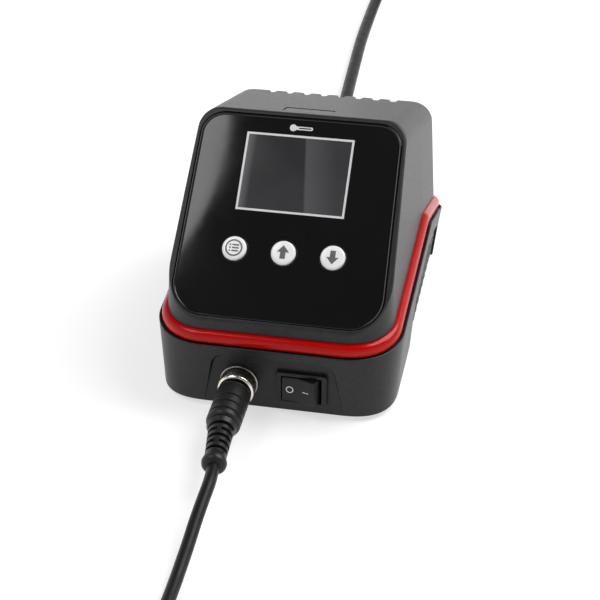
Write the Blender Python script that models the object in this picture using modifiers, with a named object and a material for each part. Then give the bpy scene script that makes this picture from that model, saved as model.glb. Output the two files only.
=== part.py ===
"""Bench soldering station: sloping control box, mains lead, plug-in lead and soldering iron.

Frame: +Z up, the front looks along -Y, and the origin is on the surface under the middle of
the box. Sizes are in millimetres and become metres where a mesh is made.
"""
import math

import bmesh
import bpy
from mathutils import Matrix, Vector

MM = 0.001
GAP = 0.3                        # clearance between pieces that touch

# Box
WIDTH = 102.0                    # across the rim of the base
DEPTH = 154.0                    # front rim to rear wall
FLARE = math.tan(math.radians(0.7))   # the sides open out towards the rear
SOCKET_REACH = 3.9               # the tool socket stands this far in front of the rim
FRONT_Y = -(DEPTH - SOCKET_REACH) / 2
FRONT_RADIUS = 22.2              # plan corners of the rim
REAR_RADIUS = 16.5
BASE_DRAFT = math.radians(3.3)
LID_DRAFT = math.radians(3.75)
WALL = 2.4

# Rim line of the base: level in front, rising along the sides to a peak, then falling
RIM_Z = 30.6
RIM_START = 8.0                  # distance behind the front rim where it starts to rise
RIM_PEAK = 100.0
RIM_RISE = math.tan(math.radians(6.5))
RIM_FALL = math.tan(math.radians(17.4))
RIM_BLEND = 0.7                  # softness of the peak
SIDE_BREAKS = (62.0, 90.0, 96.5, 99.0, 101.0, 103.5, 110.0)

# Base
UNDERSIDE_Z = 1.8
FLOOR_Z = 4.6
FOOT_ROUND = 1.0                 # rounding between the wall and the underside
FOOT_BULGE = 1.4                 # the front corners grow squarer towards the underside
BASE_WALL = 3.0
LEDGE = 5.6                      # width of the rim that carries the trim ring
VENTS = 8                        # slots in the rear wall
VENT_PITCH = 8.0
SIDE_VENTS = 9                   # slots in each side of the base
SIDE_VENT_PITCH = 7.4
SIDE_PANEL_DEPTH = 1.2           # shallow recess that frames the vents in each side
SIDE_PANEL = (                   # its corners: distance behind the front rim, height, radius
    (56.0, -3.0, 0.0), (139.5, -3.0, 0.0), (139.5, 20.0, 2.0), (104.0, 34.0, 3.0), (56.0, 25.5, 3.0))

# Trim ring and lid
TRIM_HEIGHT = 4.9
TRIM_REACH = 4.2                 # how far the sloping face of the trim runs inwards
LID_INSET = 4.1
PANEL_TILT = 43.4                # control panel, degrees from the horizontal
PANEL_Y = FRONT_Y + 5.7
PANEL_Z = 41.2
PANEL_WALL = 3.8
PANEL_RECESS = 1.8
ROOF_TILT = 17.4
ROOF_Y = FRONT_Y + 68.0
ROOF_Z = 103.5
ROOF_RADIUS = 8.6
EDGE_RADIUS = 1.0

# Control panel, measured up the slope from its lower edge
GLASS_LENGTH = 87.6
GLASS_HALF_LOW = 43.7
GLASS_HALF_HIGH = 41.9
GLASS_THICKNESS = 1.2
DISPLAY_S = 62.8
MODULE_SIZE = (49.0, 38.0)
BUTTON_S = 29.1
BUTTON_PITCH = 20.3
BUTTON_RADIUS = 5.3
BUTTON_TRAVEL = 0.8
BOARD_TOP = -11.6                # depth of the control board under the panel
BOARD_THICKNESS = 1.6

# Front of the base
FACE_Y = FRONT_Y + 1.9           # floor of the shallow recess
RECESS_LEFT = -23.0
RECESS_RIGHT = 24.6
RECESS_TOP = 26.2
RECESS_SPREAD = 7.0              # the recess is wider at the bottom by this much on either side
SWITCH_X = 12.6
SWITCH_Z = 13.7
SWITCH_BEZEL = (21.0, 15.0)
SWITCH_OPENING = (16.5, 11.8)
ROCKER_DEPTH = 5.0               # pivot behind the bezel's face
ROCKER_SWING = 22.0
SOCKET_X = -13.3
SOCKET_Z = 13.7

# Cords
GLAND_X = -15.0
GLAND_Z = 14.5
MAINS_DIAMETER = 7.2
TOOL_DIAMETER = 5.0
PLUG_SAG = 3.0                   # the tool plug hangs a little from its coupling ring
BOOT_BASE = 30.1                 # foot of its strain relief, out from the face
BOOT_LENGTH = 26.0
BOOT_YAW = 6.5                   # the strain relief is bent a little to one side
MAINS_COIL = (10.5, FRONT_Y + 548.0)
MAINS_COIL_RADII = (27.0, 52.5)
MAINS_COIL_HEIGHT = 14.4
MAINS_PLUG = (-38.0, FRONT_Y + 630.5)
TOOL_COIL = (16.5, FRONT_Y - 178.0)
TOOL_COIL_RADII = (19.5, 36.0)
TOOL_COIL_HEIGHT = 12.5
IRON_Z = 12.5                    # axis of the soldering iron, which lies on its grip
IRON_X = -11.0
IRON_Y = FRONT_Y - 216.0         # end of the strain relief at the iron's rear

BLACK_ABS = ((0.035, 0.035, 0.037, 1.0), 0.55, 0.0)
TRIM_RED = ((0.60, 0.012, 0.012, 1.0), 0.35, 0.0)
GLOSS_BLACK = ((0.008, 0.008, 0.009, 1.0), 0.05, 0.0)
KEY_WHITE = ((0.85, 0.85, 0.84, 1.0), 0.25, 0.0)
RUBBER = ((0.02, 0.02, 0.02, 1.0), 0.8, 0.0)
PVC_BLACK = ((0.025, 0.025, 0.026, 1.0), 0.5, 0.0)
NICKEL = ((0.30, 0.28, 0.26, 1.0), 0.3, 1.0)
STEEL = ((0.55, 0.55, 0.56, 1.0), 0.35, 1.0)
LAMINATION = ((0.35, 0.35, 0.37, 1.0), 0.5, 1.0)
ALUMINIUM = ((0.75, 0.75, 0.77, 1.0), 0.4, 1.0)
COPPER_TAPE = ((0.75, 0.60, 0.20, 1.0), 0.5, 0.0)
BOARD_GREEN = ((0.02, 0.18, 0.06, 1.0), 0.5, 0.0)
CHIP_BLACK = ((0.02, 0.02, 0.02, 1.0), 0.5, 0.0)
LENS_PINK = ((0.85, 0.70, 0.70, 0.6), 0.2, 0.0)
LED_RED = ((0.80, 0.05, 0.03, 1.0), 0.2, 0.0)
DISPLAY_GREY = ((0.10, 0.10, 0.11, 1.0), 0.3, 0.0)
CAN_BLUE = ((0.05, 0.08, 0.25, 1.0), 0.4, 0.0)
FUSE_CREAM = ((0.80, 0.78, 0.70, 1.0), 0.3, 0.0)
TERMINAL_GREEN = ((0.05, 0.35, 0.12, 1.0), 0.45, 0.0)
TIP_COPPER = ((0.45, 0.35, 0.30, 1.0), 0.4, 1.0)
GRIP_RED = ((0.50, 0.02, 0.02, 1.0), 0.7, 0.0)


# ---------------------------------------------------------------- helpers

def clear_scene():
    for item in list(bpy.data.objects):
        bpy.data.objects.remove(item, do_unlink=True)


def new_collection(name):
    group = bpy.data.collections.new(name)
    bpy.context.scene.collection.children.link(group)
    return group


def make_material(name, finish):
    colour, roughness, metallic = finish
    material = bpy.data.materials.new(name)
    material.use_nodes = True
    shader = material.node_tree.nodes["Principled BSDF"]
    shader.inputs["Base Color"].default_value = colour
    shader.inputs["Roughness"].default_value = roughness
    shader.inputs["Metallic"].default_value = metallic
    material.diffuse_color = colour
    return material


def add_object(name, mesh, finish, place=None):
    """Puts a mesh in the parts collection, or in the cutters collection when it has no finish."""
    item = bpy.data.objects.new(name, mesh)
    if finish is None:
        CUTTERS.objects.link(item)
        item.hide_render = True
        item.display_type = "WIRE"
    else:
        PARTS.objects.link(item)
        mesh.materials.append(make_material(name, finish))
    if place is not None:
        item.matrix_world = place
    return item


def finish_mesh(name, bm, finish, place=None, smooth=35.0):
    """Turns millimetre geometry into a mesh object in metres."""
    bmesh.ops.scale(bm, vec=(MM, MM, MM), verts=bm.verts)
    bmesh.ops.recalc_face_normals(bm, faces=bm.faces)
    mesh = bpy.data.meshes.new(name)
    bm.to_mesh(mesh)
    bm.free()
    mesh.shade_smooth()
    mesh.set_sharp_from_angle(angle=math.radians(smooth))
    return add_object(name, mesh, finish, place)


def at(x, y, z, turn=0.0, axis="X"):
    """Placing matrix from a point in millimetres and one turn in degrees."""
    spot = Matrix.Translation(Vector((x, y, z)) * MM)
    return spot @ Matrix.Rotation(math.radians(turn), 4, axis)


def box(name, low, high, finish, place=None, bevel=0.0, steps=2):
    """Block between two corners, with all its edges rounded if bevel is given."""
    bm = bmesh.new()
    bmesh.ops.create_cube(bm, size=1.0)
    size = Vector(high) - Vector(low)
    bmesh.ops.scale(bm, vec=size, verts=bm.verts)
    bmesh.ops.translate(bm, vec=(Vector(low) + Vector(high)) / 2, verts=bm.verts)
    if bevel:
        bmesh.ops.bevel(bm, geom=bm.edges[:], offset=bevel, segments=steps, profile=0.5, affect="EDGES")
    return finish_mesh(name, bm, finish, place)


def rod(name, radius, low, high, finish, place=None, sides=24):
    """Plain cylinder about the piece's own Z."""
    bm = bmesh.new()
    bmesh.ops.create_cone(
        bm, cap_ends=True, segments=sides, radius1=radius, radius2=radius, depth=high - low)
    bmesh.ops.translate(bm, vec=(0.0, 0.0, (low + high) / 2), verts=bm.verts)
    return finish_mesh(name, bm, finish, place)


def turned(name, profile, finish, place=None, steps=24, hollow=False):
    """Solid of revolution about Z; the profile of (radius, z) runs down its outer side."""
    mesh = bpy.data.meshes.new(name)
    points = [Vector((radius, 0.0, z)) * MM for radius, z in profile]
    edges = [(i, i + 1) for i in range(len(points) - 1)]
    if hollow:
        edges.append((len(points) - 1, 0))
    mesh.from_pydata(points, edges, [])
    item = add_object(name, mesh, finish, place)
    screw = item.modifiers.new("turn", "SCREW")
    screw.steps = steps
    screw.render_steps = steps
    screw.use_merge_vertices = True
    screw.merge_threshold = 0.00001
    return item


def fillet(corners, steps=4):
    """Closed outline with round corners, from (x, y, radius) points in order."""
    outline = []
    for i, (x, y, radius) in enumerate(corners):
        here = Vector((x, y))
        before = Vector(corners[i - 1][:2])
        after = Vector(corners[(i + 1) % len(corners)][:2])
        if radius <= 0.0:
            outline.append((x, y))
            continue
        back = (before - here).normalized()
        ahead = (after - here).normalized()
        half = back.angle(ahead) / 2
        centre = here + (back + ahead).normalized() * radius / math.sin(half)
        start = here + back * radius / math.tan(half) - centre
        end = here + ahead * radius / math.tan(half) - centre
        sweep = start.angle_signed(end)
        for k in range(steps + 1):
            turn = -sweep * k / steps
            outline.append((
                centre.x + start.x * math.cos(turn) - start.y * math.sin(turn),
                centre.y + start.x * math.sin(turn) + start.y * math.cos(turn)))
    return outline


def prism(name, outline, low, high, finish, place=None):
    """Flat outline in the piece's own XY, carried from one height to another."""
    bm = bmesh.new()
    face = bm.faces.new([bm.verts.new((x, y, low)) for x, y in outline])
    grown = bmesh.ops.extrude_face_region(bm, geom=[face])
    top = [v for v in grown["geom"] if isinstance(v, bmesh.types.BMVert)]
    bmesh.ops.translate(bm, vec=(0.0, 0.0, high - low), verts=top)
    return finish_mesh(name, bm, finish, place)


def stack(rings, closed=False):
    """Skin through rings of equally many points; an open stack is capped at both ends."""
    bm = bmesh.new()
    loops = [[bm.verts.new(point) for point in ring] for ring in rings]
    pairs = list(zip(loops, loops[1:]))
    if closed:
        pairs.append((loops[-1], loops[0]))
    for low, high in pairs:
        for i in range(len(low)):
            j = (i + 1) % len(low)
            bm.faces.new((low[i], low[j], high[j], high[i]))
    if not closed:
        bm.faces.new(list(reversed(loops[0])))
        bm.faces.new(loops[-1])
    return bm


def combine(item, tool, operation="DIFFERENCE"):
    change = item.modifiers.new(tool.name, "BOOLEAN")
    change.operation = operation
    change.solver = "EXACT"
    change.object = tool


def smooth_route(points, spacing):
    """Evenly spaced points along a smooth curve through the route's own points."""
    knots = [Vector(point) for point in points]
    knots = [knots[0] * 2 - knots[1]] + knots + [knots[-1] * 2 - knots[-2]]
    fine = []
    for a, b, c, d in zip(knots, knots[1:], knots[2:], knots[3:]):
        for k in range(24):
            t = k / 24
            fine.append(0.5 * (2 * b + (c - a) * t + (2 * a - 5 * b + 4 * c - d) * t * t
                               + (3 * b - a - 3 * c + d) * t ** 3))
    fine.append(knots[-2])
    lengths = [0.0]
    for a, b in zip(fine, fine[1:]):
        lengths.append(lengths[-1] + (b - a).length)
    count = max(2, round(lengths[-1] / spacing))
    route = []
    k = 0
    for i in range(count + 1):
        want = lengths[-1] * i / count
        while k < len(fine) - 2 and lengths[k + 1] < want:
            k += 1
        share = (want - lengths[k]) / (lengths[k + 1] - lengths[k])
        route.append(fine[k].lerp(fine[k + 1], min(1.0, share)))
    return route


def tube(name, points, diameter, finish, spacing, resolution=2):
    """Round cord along a smooth curve through its route's points."""
    route = smooth_route(points, spacing)
    curve = bpy.data.curves.new(name, "CURVE")
    curve.dimensions = "3D"
    curve.bevel_depth = diameter / 2 * MM
    curve.bevel_resolution = resolution
    curve.use_fill_caps = True
    spline = curve.splines.new("POLY")
    spline.points.add(len(route) - 1)
    for knot, point in zip(spline.points, route):
        knot.co = (*(point * MM), 1.0)
    return add_object(name, curve, finish)


# ---------------------------------------------------------------- shape of the box

def rim_height(y):
    """Height of the base's rim at a distance behind the front rim."""
    rising = RIM_Z + max(0.0, y - RIM_START) * RIM_RISE
    peak = RIM_Z + (RIM_PEAK - RIM_START) * RIM_RISE
    falling = peak - (y - RIM_PEAK) * RIM_FALL
    return (rising + falling - math.hypot(rising - falling, RIM_BLEND)) / 2


def plan():
    """Rim outline seen from above, counter-clockwise: x, y and the inward normal."""
    half = WIDTH / 2
    front = FRONT_Y + FRONT_RADIUS
    rear = FRONT_Y + DEPTH - REAR_RADIUS
    corners = (
        (half - FRONT_RADIUS, front, FRONT_RADIUS, -90.0, 8),
        (half - REAR_RADIUS, rear, REAR_RADIUS, 0.0, 5),
        (REAR_RADIUS - half, rear, REAR_RADIUS, 90.0, 5),
        (FRONT_RADIUS - half, front, FRONT_RADIUS, 180.0, 8))
    points = []
    for number, (x, y, radius, start, steps) in enumerate(corners):
        for k in range(steps + 1):
            turn = math.radians(start + 90.0 * k / steps)
            out = Vector((math.cos(turn), math.sin(turn)))
            points.append((x + radius * out.x, y + radius * out.y, -out.x, -out.y))
        if number == 0:
            points += [(half, FRONT_Y + run, -1.0, 0.0) for run in SIDE_BREAKS]
        if number == 2:
            points += [(-half, FRONT_Y + run, 1.0, 0.0) for run in reversed(SIDE_BREAKS)]
    return [(x * (1.0 + (y - FRONT_Y) * FLARE / half), y, nx, ny) for x, y, nx, ny in points]


def ring(height, inset):
    """Ring of the plan, moved inwards; height follows a point's place, and inset its height."""
    points = []
    for x, y, nx, ny in plan():
        step = 0.0
        for _ in range(6):
            z = height(y + ny * step - FRONT_Y)
            step = inset(z)
        points.append((x + nx * step, y + ny * step, z))
    return points


def base_ring(z, extra):
    """Level ring on the base's tapering wall; lower down it loses its flare and has squarer corners."""
    below = max(0.0, RIM_Z - z)
    share = below / (RIM_Z - UNDERSIDE_Z)
    taper = below * math.tan(BASE_DRAFT)
    points = []
    for (x, y, z), (_, _, nx, ny) in zip(ring(lambda run: z, lambda height: taper + extra), plan()):
        bulge = FOOT_BULGE * share * (2.0 * nx * ny) ** 2 if ny > 0.0 else 0.0
        flare = 1.0 + share * (y - FRONT_Y) * FLARE / (WIDTH / 2)
        points.append(((x - nx * bulge) / flare, y - ny * bulge, z))
    return points


def side_reach(run, z):
    """Half width of the base at a point of its straight side."""
    below = max(0.0, RIM_Z - z)
    flare = 1.0 + below / (RIM_Z - UNDERSIDE_Z) * run * FLARE / (WIDTH / 2)
    return (WIDTH / 2 + run * FLARE - below * math.tan(BASE_DRAFT)) / flare


def rim_ring(lift, inset):
    """Ring that follows the rim line."""
    return ring(lambda run: rim_height(run) + lift, lambda height: inset)


def panel_frame(offset=0.0):
    """Local X across, Y up the slope, Z out of the control panel."""
    return at(0.0, PANEL_Y, PANEL_Z, PANEL_TILT) @ Matrix.Translation((0.0, 0.0, offset * MM))


def roof_frame():
    """Local X across, Y down the roof to the rear, Z out of the roof."""
    return at(0.0, ROOF_Y, ROOF_Z, -ROOF_TILT)


def front_frame(x=0.0, z=0.0, y=FACE_Y):
    """Local X across, Y up, Z out of the front."""
    return at(x, y, z, 90.0)


def lid_body(wall, panel_wall, start):
    """Solid under the lid's outer surface, or under its inner surface when walls are given."""
    slope = math.tan(math.radians(ROOF_TILT))
    roof_z = ROOF_Z - wall / math.cos(math.radians(ROOF_TILT))
    radius = ROOF_RADIUS - wall
    foot = RIM_Z + TRIM_HEIGHT + GAP
    base_inset = LID_INSET + wall

    def roof(run, drop):
        return roof_z - (run + FRONT_Y - ROOF_Y) * slope - drop

    def inset(z, extra):
        return base_inset + (z - foot) * math.tan(LID_DRAFT) + extra

    rings = [rim_ring(start, base_inset + 2 * WALL), rim_ring(start, base_inset)]
    for k in range(5):
        turn = math.radians(22.5 * k)
        drop = radius * (1.0 - math.sin(turn))
        extra = radius * (1.0 - math.cos(turn))
        rings.append(ring(lambda run: roof(run, drop), lambda z: inset(z, extra)))
    bm = stack(rings)
    tilt = math.radians(PANEL_TILT)
    normal = Vector((0.0, -math.sin(tilt), math.cos(tilt)))
    point = Vector((0.0, PANEL_Y, PANEL_Z)) - normal * panel_wall
    everything = bm.verts[:] + bm.edges[:] + bm.faces[:]
    cut = bmesh.ops.bisect_plane(
        bm, geom=everything, plane_co=point, plane_no=normal, clear_outer=True)
    edges = [part for part in cut["geom_cut"] if isinstance(part, bmesh.types.BMEdge)]
    bmesh.ops.edgeloop_fill(bm, edges=edges)
    if wall == 0.0:
        bmesh.ops.bevel(
            bm, geom=edges, offset=EDGE_RADIUS, segments=2, profile=0.5, affect="EDGES")
    return bm


def glass_outline(grow=0.0):
    """Outline of the glossy panel in the panel's own frame."""
    low = GLASS_HALF_LOW + grow
    high = GLASS_HALF_HIGH + grow
    return fillet((
        (-low, -grow, 14.0 + grow), (low, -grow, 14.0 + grow),
        (high, GLASS_LENGTH + grow, 10.0 + grow), (-high, GLASS_LENGTH + grow, 10.0 + grow)), 5)


# ---------------------------------------------------------------- shells

def posts():
    """Places of the four screw posts that hold lid and base together."""
    return [(side * 40.5, FRONT_Y + run) for run in (38.0, 130.0) for side in (-1, 1)]


def make_lower_shell():
    rings = []
    for k in range(5):
        turn = math.radians(90.0 - 22.5 * k)
        drop = FOOT_ROUND * (1.0 - math.sin(turn))
        rings.append(base_ring(UNDERSIDE_Z + drop, FOOT_ROUND * (1.0 - math.cos(turn))))
    rings += [
        rim_ring(-0.5, 0.0), rim_ring(0.0, 0.4), rim_ring(0.0, LEDGE), rim_ring(-3.0, LEDGE),
        rim_ring(-5.5, BASE_WALL), base_ring(FLOOR_Z, BASE_WALL)]
    shell = finish_mesh("lower_shell", stack(rings), BLACK_ABS)

    recess = fillet((
        (RECESS_LEFT - RECESS_SPREAD, -5.0, 0.0), (RECESS_RIGHT + RECESS_SPREAD, -5.0, 0.0),
        (RECESS_RIGHT, RECESS_TOP, 6.0), (RECESS_LEFT, RECESS_TOP, 6.0)))
    combine(shell, prism("cut_recess", recess, 0.0, 12.0, None, front_frame()))
    half_x = SWITCH_BEZEL[0] / 2 - 0.7
    half_z = SWITCH_BEZEL[1] / 2 - 0.7
    combine(shell, box(
        "cut_switch", (SWITCH_X - half_x, FRONT_Y - 5.0, SWITCH_Z - half_z),
        (SWITCH_X + half_x, FRONT_Y + 12.0, SWITCH_Z + half_z), None))
    combine(shell, rod("cut_socket", 6.4, -12.0, 6.0, None, front_frame(SOCKET_X, SOCKET_Z)))
    combine(shell, rod("cut_gland", 5.4, -6.0, 6.0, None, gland_frame(0.0)))

    edge = fillet(SIDE_PANEL, 3)
    for side, label in ((-1, "left"), (1, "right")):
        inner = [(side * (side_reach(run, z) - SIDE_PANEL_DEPTH), FRONT_Y + run, z) for run, z in edge]
        outer = [(side * 60.0, FRONT_Y + run, z) for run, z in edge]
        panel = stack([inner, outer])
        bmesh.ops.triangulate(panel, faces=panel.faces)
        combine(shell, finish_mesh("cut_side_" + label, panel, None))
        for number in range(SIDE_VENTS):
            y = FRONT_Y + 70.0 + SIDE_VENT_PITCH * number
            top = 19.0 if number < SIDE_VENTS - 2 else 15.0
            inner, outer = sorted((side * 40.0, side * 60.0))
            vent = "cut_vent_%s_%d" % (label, number)
            combine(shell, box(vent, (inner, y - 1.6, 7.5), (outer, y + 1.6, top), None))

    for number, (x, y) in enumerate(posts()):
        combine(shell, rod("cut_screw_%d" % number, 1.8, 0.0, 12.0, None, at(x, y, 0.0), 12))
    for number, (x, y) in enumerate(transformer_screws()):
        combine(shell, rod("cut_mount_%d" % number, 1.5, 0.0, 12.0, None, at(x, y, 0.0), 12))


def make_trim_ring():
    rings = [
        rim_ring(GAP, 1.3), rim_ring(2.4, 1.6), rim_ring(3.9, 2.5), rim_ring(TRIM_HEIGHT, TRIM_REACH),
        rim_ring(TRIM_HEIGHT, LEDGE), rim_ring(GAP, LEDGE)]
    finish_mesh("trim_ring", stack(rings, closed=True), TRIM_RED)


def make_upper_shell():
    foot = TRIM_HEIGHT + GAP
    shell = finish_mesh("upper_shell", lid_body(0.0, 0.0, foot), BLACK_ABS)
    hollow = finish_mesh("cut_hollow", lid_body(WALL, PANEL_WALL, foot - 6.0), None)
    combine(shell, hollow)
    for number, (x, y) in enumerate(posts()):
        post = rod("post_%d" % number, 5.0, FLOOR_Z + GAP, 50.0, None, at(x, y, 0.0), 12)
        combine(shell, post, "UNION")
    for number, side in enumerate((-1, 1)):
        place = panel_frame() @ at(side * 29.5, DISPLAY_S, 0.0)
        combine(shell, rod("boss_%d" % number, 3.0, BOARD_TOP + GAP, -3.0, None, place, 12), "UNION")
        combine(shell, rod("cut_boss_%d" % number, 1.3, BOARD_TOP - 1.0, -5.5, None, place, 8))
    for number, (x, y) in enumerate(posts()):
        combine(shell, rod("cut_post_%d" % number, 1.8, 0.0, 19.0, None, at(x, y, 0.0), 12))

    combine(shell, prism("cut_glass", glass_outline(GAP), -PANEL_RECESS, 6.0, None, panel_frame()))
    half_x = MODULE_SIZE[0] / 2 + 0.5
    half_s = MODULE_SIZE[1] / 2 + 0.5
    combine(shell, box(
        "cut_display", (-half_x, DISPLAY_S - half_s, -8.0),
        (half_x, DISPLAY_S + half_s, 2.0), None, panel_frame()))
    for number in range(3):
        place = panel_frame() @ at((number - 1) * BUTTON_PITCH, BUTTON_S, 0.0)
        combine(shell, rod("cut_key_%d" % number, BUTTON_RADIUS + 0.45, -8.0, 3.0, None, place))
    slot = fillet(((-10.7, 9.3, 1.5), (10.7, 9.3, 1.5), (10.7, 19.3, 1.5), (-10.7, 19.3, 1.5)), 3)
    combine(shell, prism("cut_lens", slot, -6.0, 4.0, None, roof_frame()))
    rear = FRONT_Y + DEPTH
    for number in range(VENTS):
        x = (number - (VENTS - 1) / 2) * VENT_PITCH
        place = at(x, FRONT_Y + 140.5, 79.9, -30.0)
        groove = box("cut_groove_%d" % number, (-2.0, -9.0, -1.1), (2.0, 16.0, 12.0), None, place)
        combine(shell, groove)
        slot_low, slot_high = (x - 1.3, rear - 12.0, 46.0), (x + 1.3, rear, 69.0)
        combine(shell, box("cut_slot_%d" % number, slot_low, slot_high, None))


def make_feet():
    for number, (x, run) in enumerate(((-37.0, 15.5), (37.0, 15.5), (-38.0, 141.0), (38.0, 141.0)), 1):
        top = UNDERSIDE_Z - GAP
        profile = ((0.0, top), (6.0, top), (6.0, 0.6), (5.4, 0.0), (0.0, 0.0))
        turned("foot_%d" % number, profile, RUBBER, at(x, FRONT_Y + run, 0.0), 20)


def make_case_screws():
    for number, (x, y) in enumerate(posts(), 1):
        profile = (
            (0.0, 17.0), (1.5, 17.0), (1.5, 1.5), (3.2, 1.5), (3.2, 0.9), (2.6, 0.4),
            (1.0, 0.4), (0.8, 1.0), (0.0, 1.0))
        turned("case_screw_%d" % number, profile, STEEL, at(x, y, 0.0), 16)


# ---------------------------------------------------------------- control panel

def make_front_panel():
    panel = prism(
        "front_panel", glass_outline(), -0.3 - GLASS_THICKNESS, -0.3, GLOSS_BLACK, panel_frame())
    for number in range(3):
        place = panel_frame() @ at((number - 1) * BUTTON_PITCH, BUTTON_S, 0.0)
        combine(panel, rod("cut_glass_key_%d" % number, BUTTON_RADIUS + 0.45, -4.0, 3.0, None, place))


def make_display():
    half_x, half_s = MODULE_SIZE[0] / 2, MODULE_SIZE[1] / 2
    box("display_module", (-half_x, DISPLAY_S - half_s, BOARD_TOP + GAP),
        (half_x, DISPLAY_S + half_s, -1.8), DISPLAY_GREY, panel_frame(), 0.4, 1)


def make_status_light():
    lens = fillet(((-10.4, 9.6, 1.2), (10.4, 9.6, 1.2), (10.4, 19.0, 1.2), (-10.4, 19.0, 1.2)), 3)
    prism("status_lens", lens, -2.6, -0.2, LENS_PINK, roof_frame())
    profile = (
        (0.0, -3.2), (1.6, -3.7), (2.5, -5.4), (2.5, -10.5), (2.9, -10.5), (2.9, -11.5), (0.0, -11.5))
    turned("status_led", profile, LED_RED, roof_frame() @ at(6.8, 14.0, 0.0), 16)


def make_control_board():
    board = box(
        "control_board", (-33.5, 13.0, BOARD_TOP - BOARD_THICKNESS), (33.5, 80.5, BOARD_TOP),
        BOARD_GREEN, panel_frame())
    for number, side in enumerate((-1, 1)):
        place = panel_frame() @ at(side * 29.5, DISPLAY_S, 0.0)
        combine(board, rod("cut_board_%d" % number, 1.5, -16.0, -8.0, None, place, 8))
        under = BOARD_TOP - BOARD_THICKNESS - GAP
        profile = (
            (0.0, -6.0), (0.95, -6.0), (0.95, under), (2.6, under), (2.2, under - 1.8),
            (0.9, under - 1.8), (0.7, under - 1.0), (0.0, under - 1.0))
        turned("board_screw_%d" % (number + 1), profile, STEEL, place, 12)
    under = BOARD_TOP - BOARD_THICKNESS - GAP
    box("main_chip", (-8.0, 40.0, under - 1.6), (4.0, 52.0, under), CHIP_BLACK, panel_frame(), 0.3, 1)


def make_buttons():
    for number, name in enumerate(("menu", "up", "down")):
        place = panel_frame() @ at((number - 1) * BUTTON_PITCH, BUTTON_S, 0.0)
        profile = (
            (0.0, 0.6), (2.6, 0.5), (4.4, 0.25), (5.05, 0.0), (5.3, -0.4), (5.3, -PANEL_WALL - GAP),
            (6.5, -PANEL_WALL - GAP), (6.5, -5.2), (1.7, -5.2), (1.7, -6.8), (0.0, -6.8))
        turned("button_" + name, profile, KEY_WHITE, place, 20)
        top = -6.8 - BUTTON_TRAVEL - GAP
        turned("key_switch_" + name, (
            (0.0, top), (1.7, top), (1.7, top - 0.6), (2.9, top - 0.6), (2.9, BOARD_TOP + GAP),
            (0.0, BOARD_TOP + GAP)), CHIP_BLACK, place, 12)


# ---------------------------------------------------------------- mains switch and tool socket

def make_power_switch():
    wide, tall = SWITCH_BEZEL[0] / 2, SWITCH_BEZEL[1] / 2
    place = front_frame(SWITCH_X, SWITCH_Z)
    housing = box(
        "power_switch_housing", (-wide + 1.0, -tall + 1.0, -14.0), (wide - 1.0, tall - 1.0, 1.3),
        CHIP_BLACK, place)
    rim = fillet(((-wide, -tall, 1.2), (wide, -tall, 1.2), (wide, tall, 1.2), (-wide, tall, 1.2)), 3)
    combine(housing, prism("join_bezel", rim, GAP, 1.8, None, place), "UNION")
    open_x, open_z = SWITCH_OPENING[0] / 2, SWITCH_OPENING[1] / 2
    combine(housing, box("cut_opening", (-open_x, -open_z, -2.0), (open_x, open_z, 4.0), None, place))
    combine(housing, box("cut_cavity", (-8.9, -open_z, -10.5), (8.9, open_z, -0.2), None, place))

    outline = (
        (6.7, 6.7), (0.0, 5.7), (-6.7, 6.7), (-8.15, 2.6), (-6.2, 0.4), (6.2, 0.4), (8.15, 2.6))
    half = open_z - 0.35
    pivot = place @ at(0.0, 0.0, 1.8 - ROCKER_DEPTH) @ at(0.0, 0.0, 0.0, -ROCKER_SWING / 2, "Y")
    upright = Matrix.Rotation(math.radians(90.0), 4, "X")
    rocker = prism("power_switch_rocker", outline, -half, half, CHIP_BLACK, pivot)
    rocker.data.transform(upright)


def make_socket():
    place = front_frame(SOCKET_X, SOCKET_Z)
    reach = SOCKET_REACH + FACE_Y - FRONT_Y
    turned("socket_shell", (
        (6.0, reach), (6.0, 1.5), (7.9, 1.5), (7.9, GAP), (6.0, GAP), (6.0, -9.0),
        (4.9, -9.0), (4.9, reach)), NICKEL, place, 24, True)
    turns = [math.radians(60.0 * k) for k in range(6)]
    corners = [(8.6 * math.cos(turn), 8.6 * math.sin(turn)) for turn in turns]
    nut = prism("socket_nut", corners, -4.4, -2.6, NICKEL, place)
    combine(nut, rod("cut_nut", 6.3, -6.0, 0.0, None, place))
    turned("socket_core", (
        (0.0, 1.0), (4.6, 1.0), (4.6, -11.0), (0.0, -11.0)), CHIP_BLACK, place, 16)


def plug_frame():
    """Axis of the plug's body, which hangs a little about the coupling ring."""
    return front_frame(SOCKET_X, SOCKET_Z) @ at(0.0, 0.0, 7.0, PLUG_SAG) @ at(0.0, 0.0, -7.0)


def boot_frame():
    """Foot and axis of the plug's strain relief."""
    return plug_frame() @ at(0.0, 0.0, BOOT_BASE, BOOT_YAW, "Y") @ at(0.0, 0.0, 0.0, -PLUG_SAG)


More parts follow.
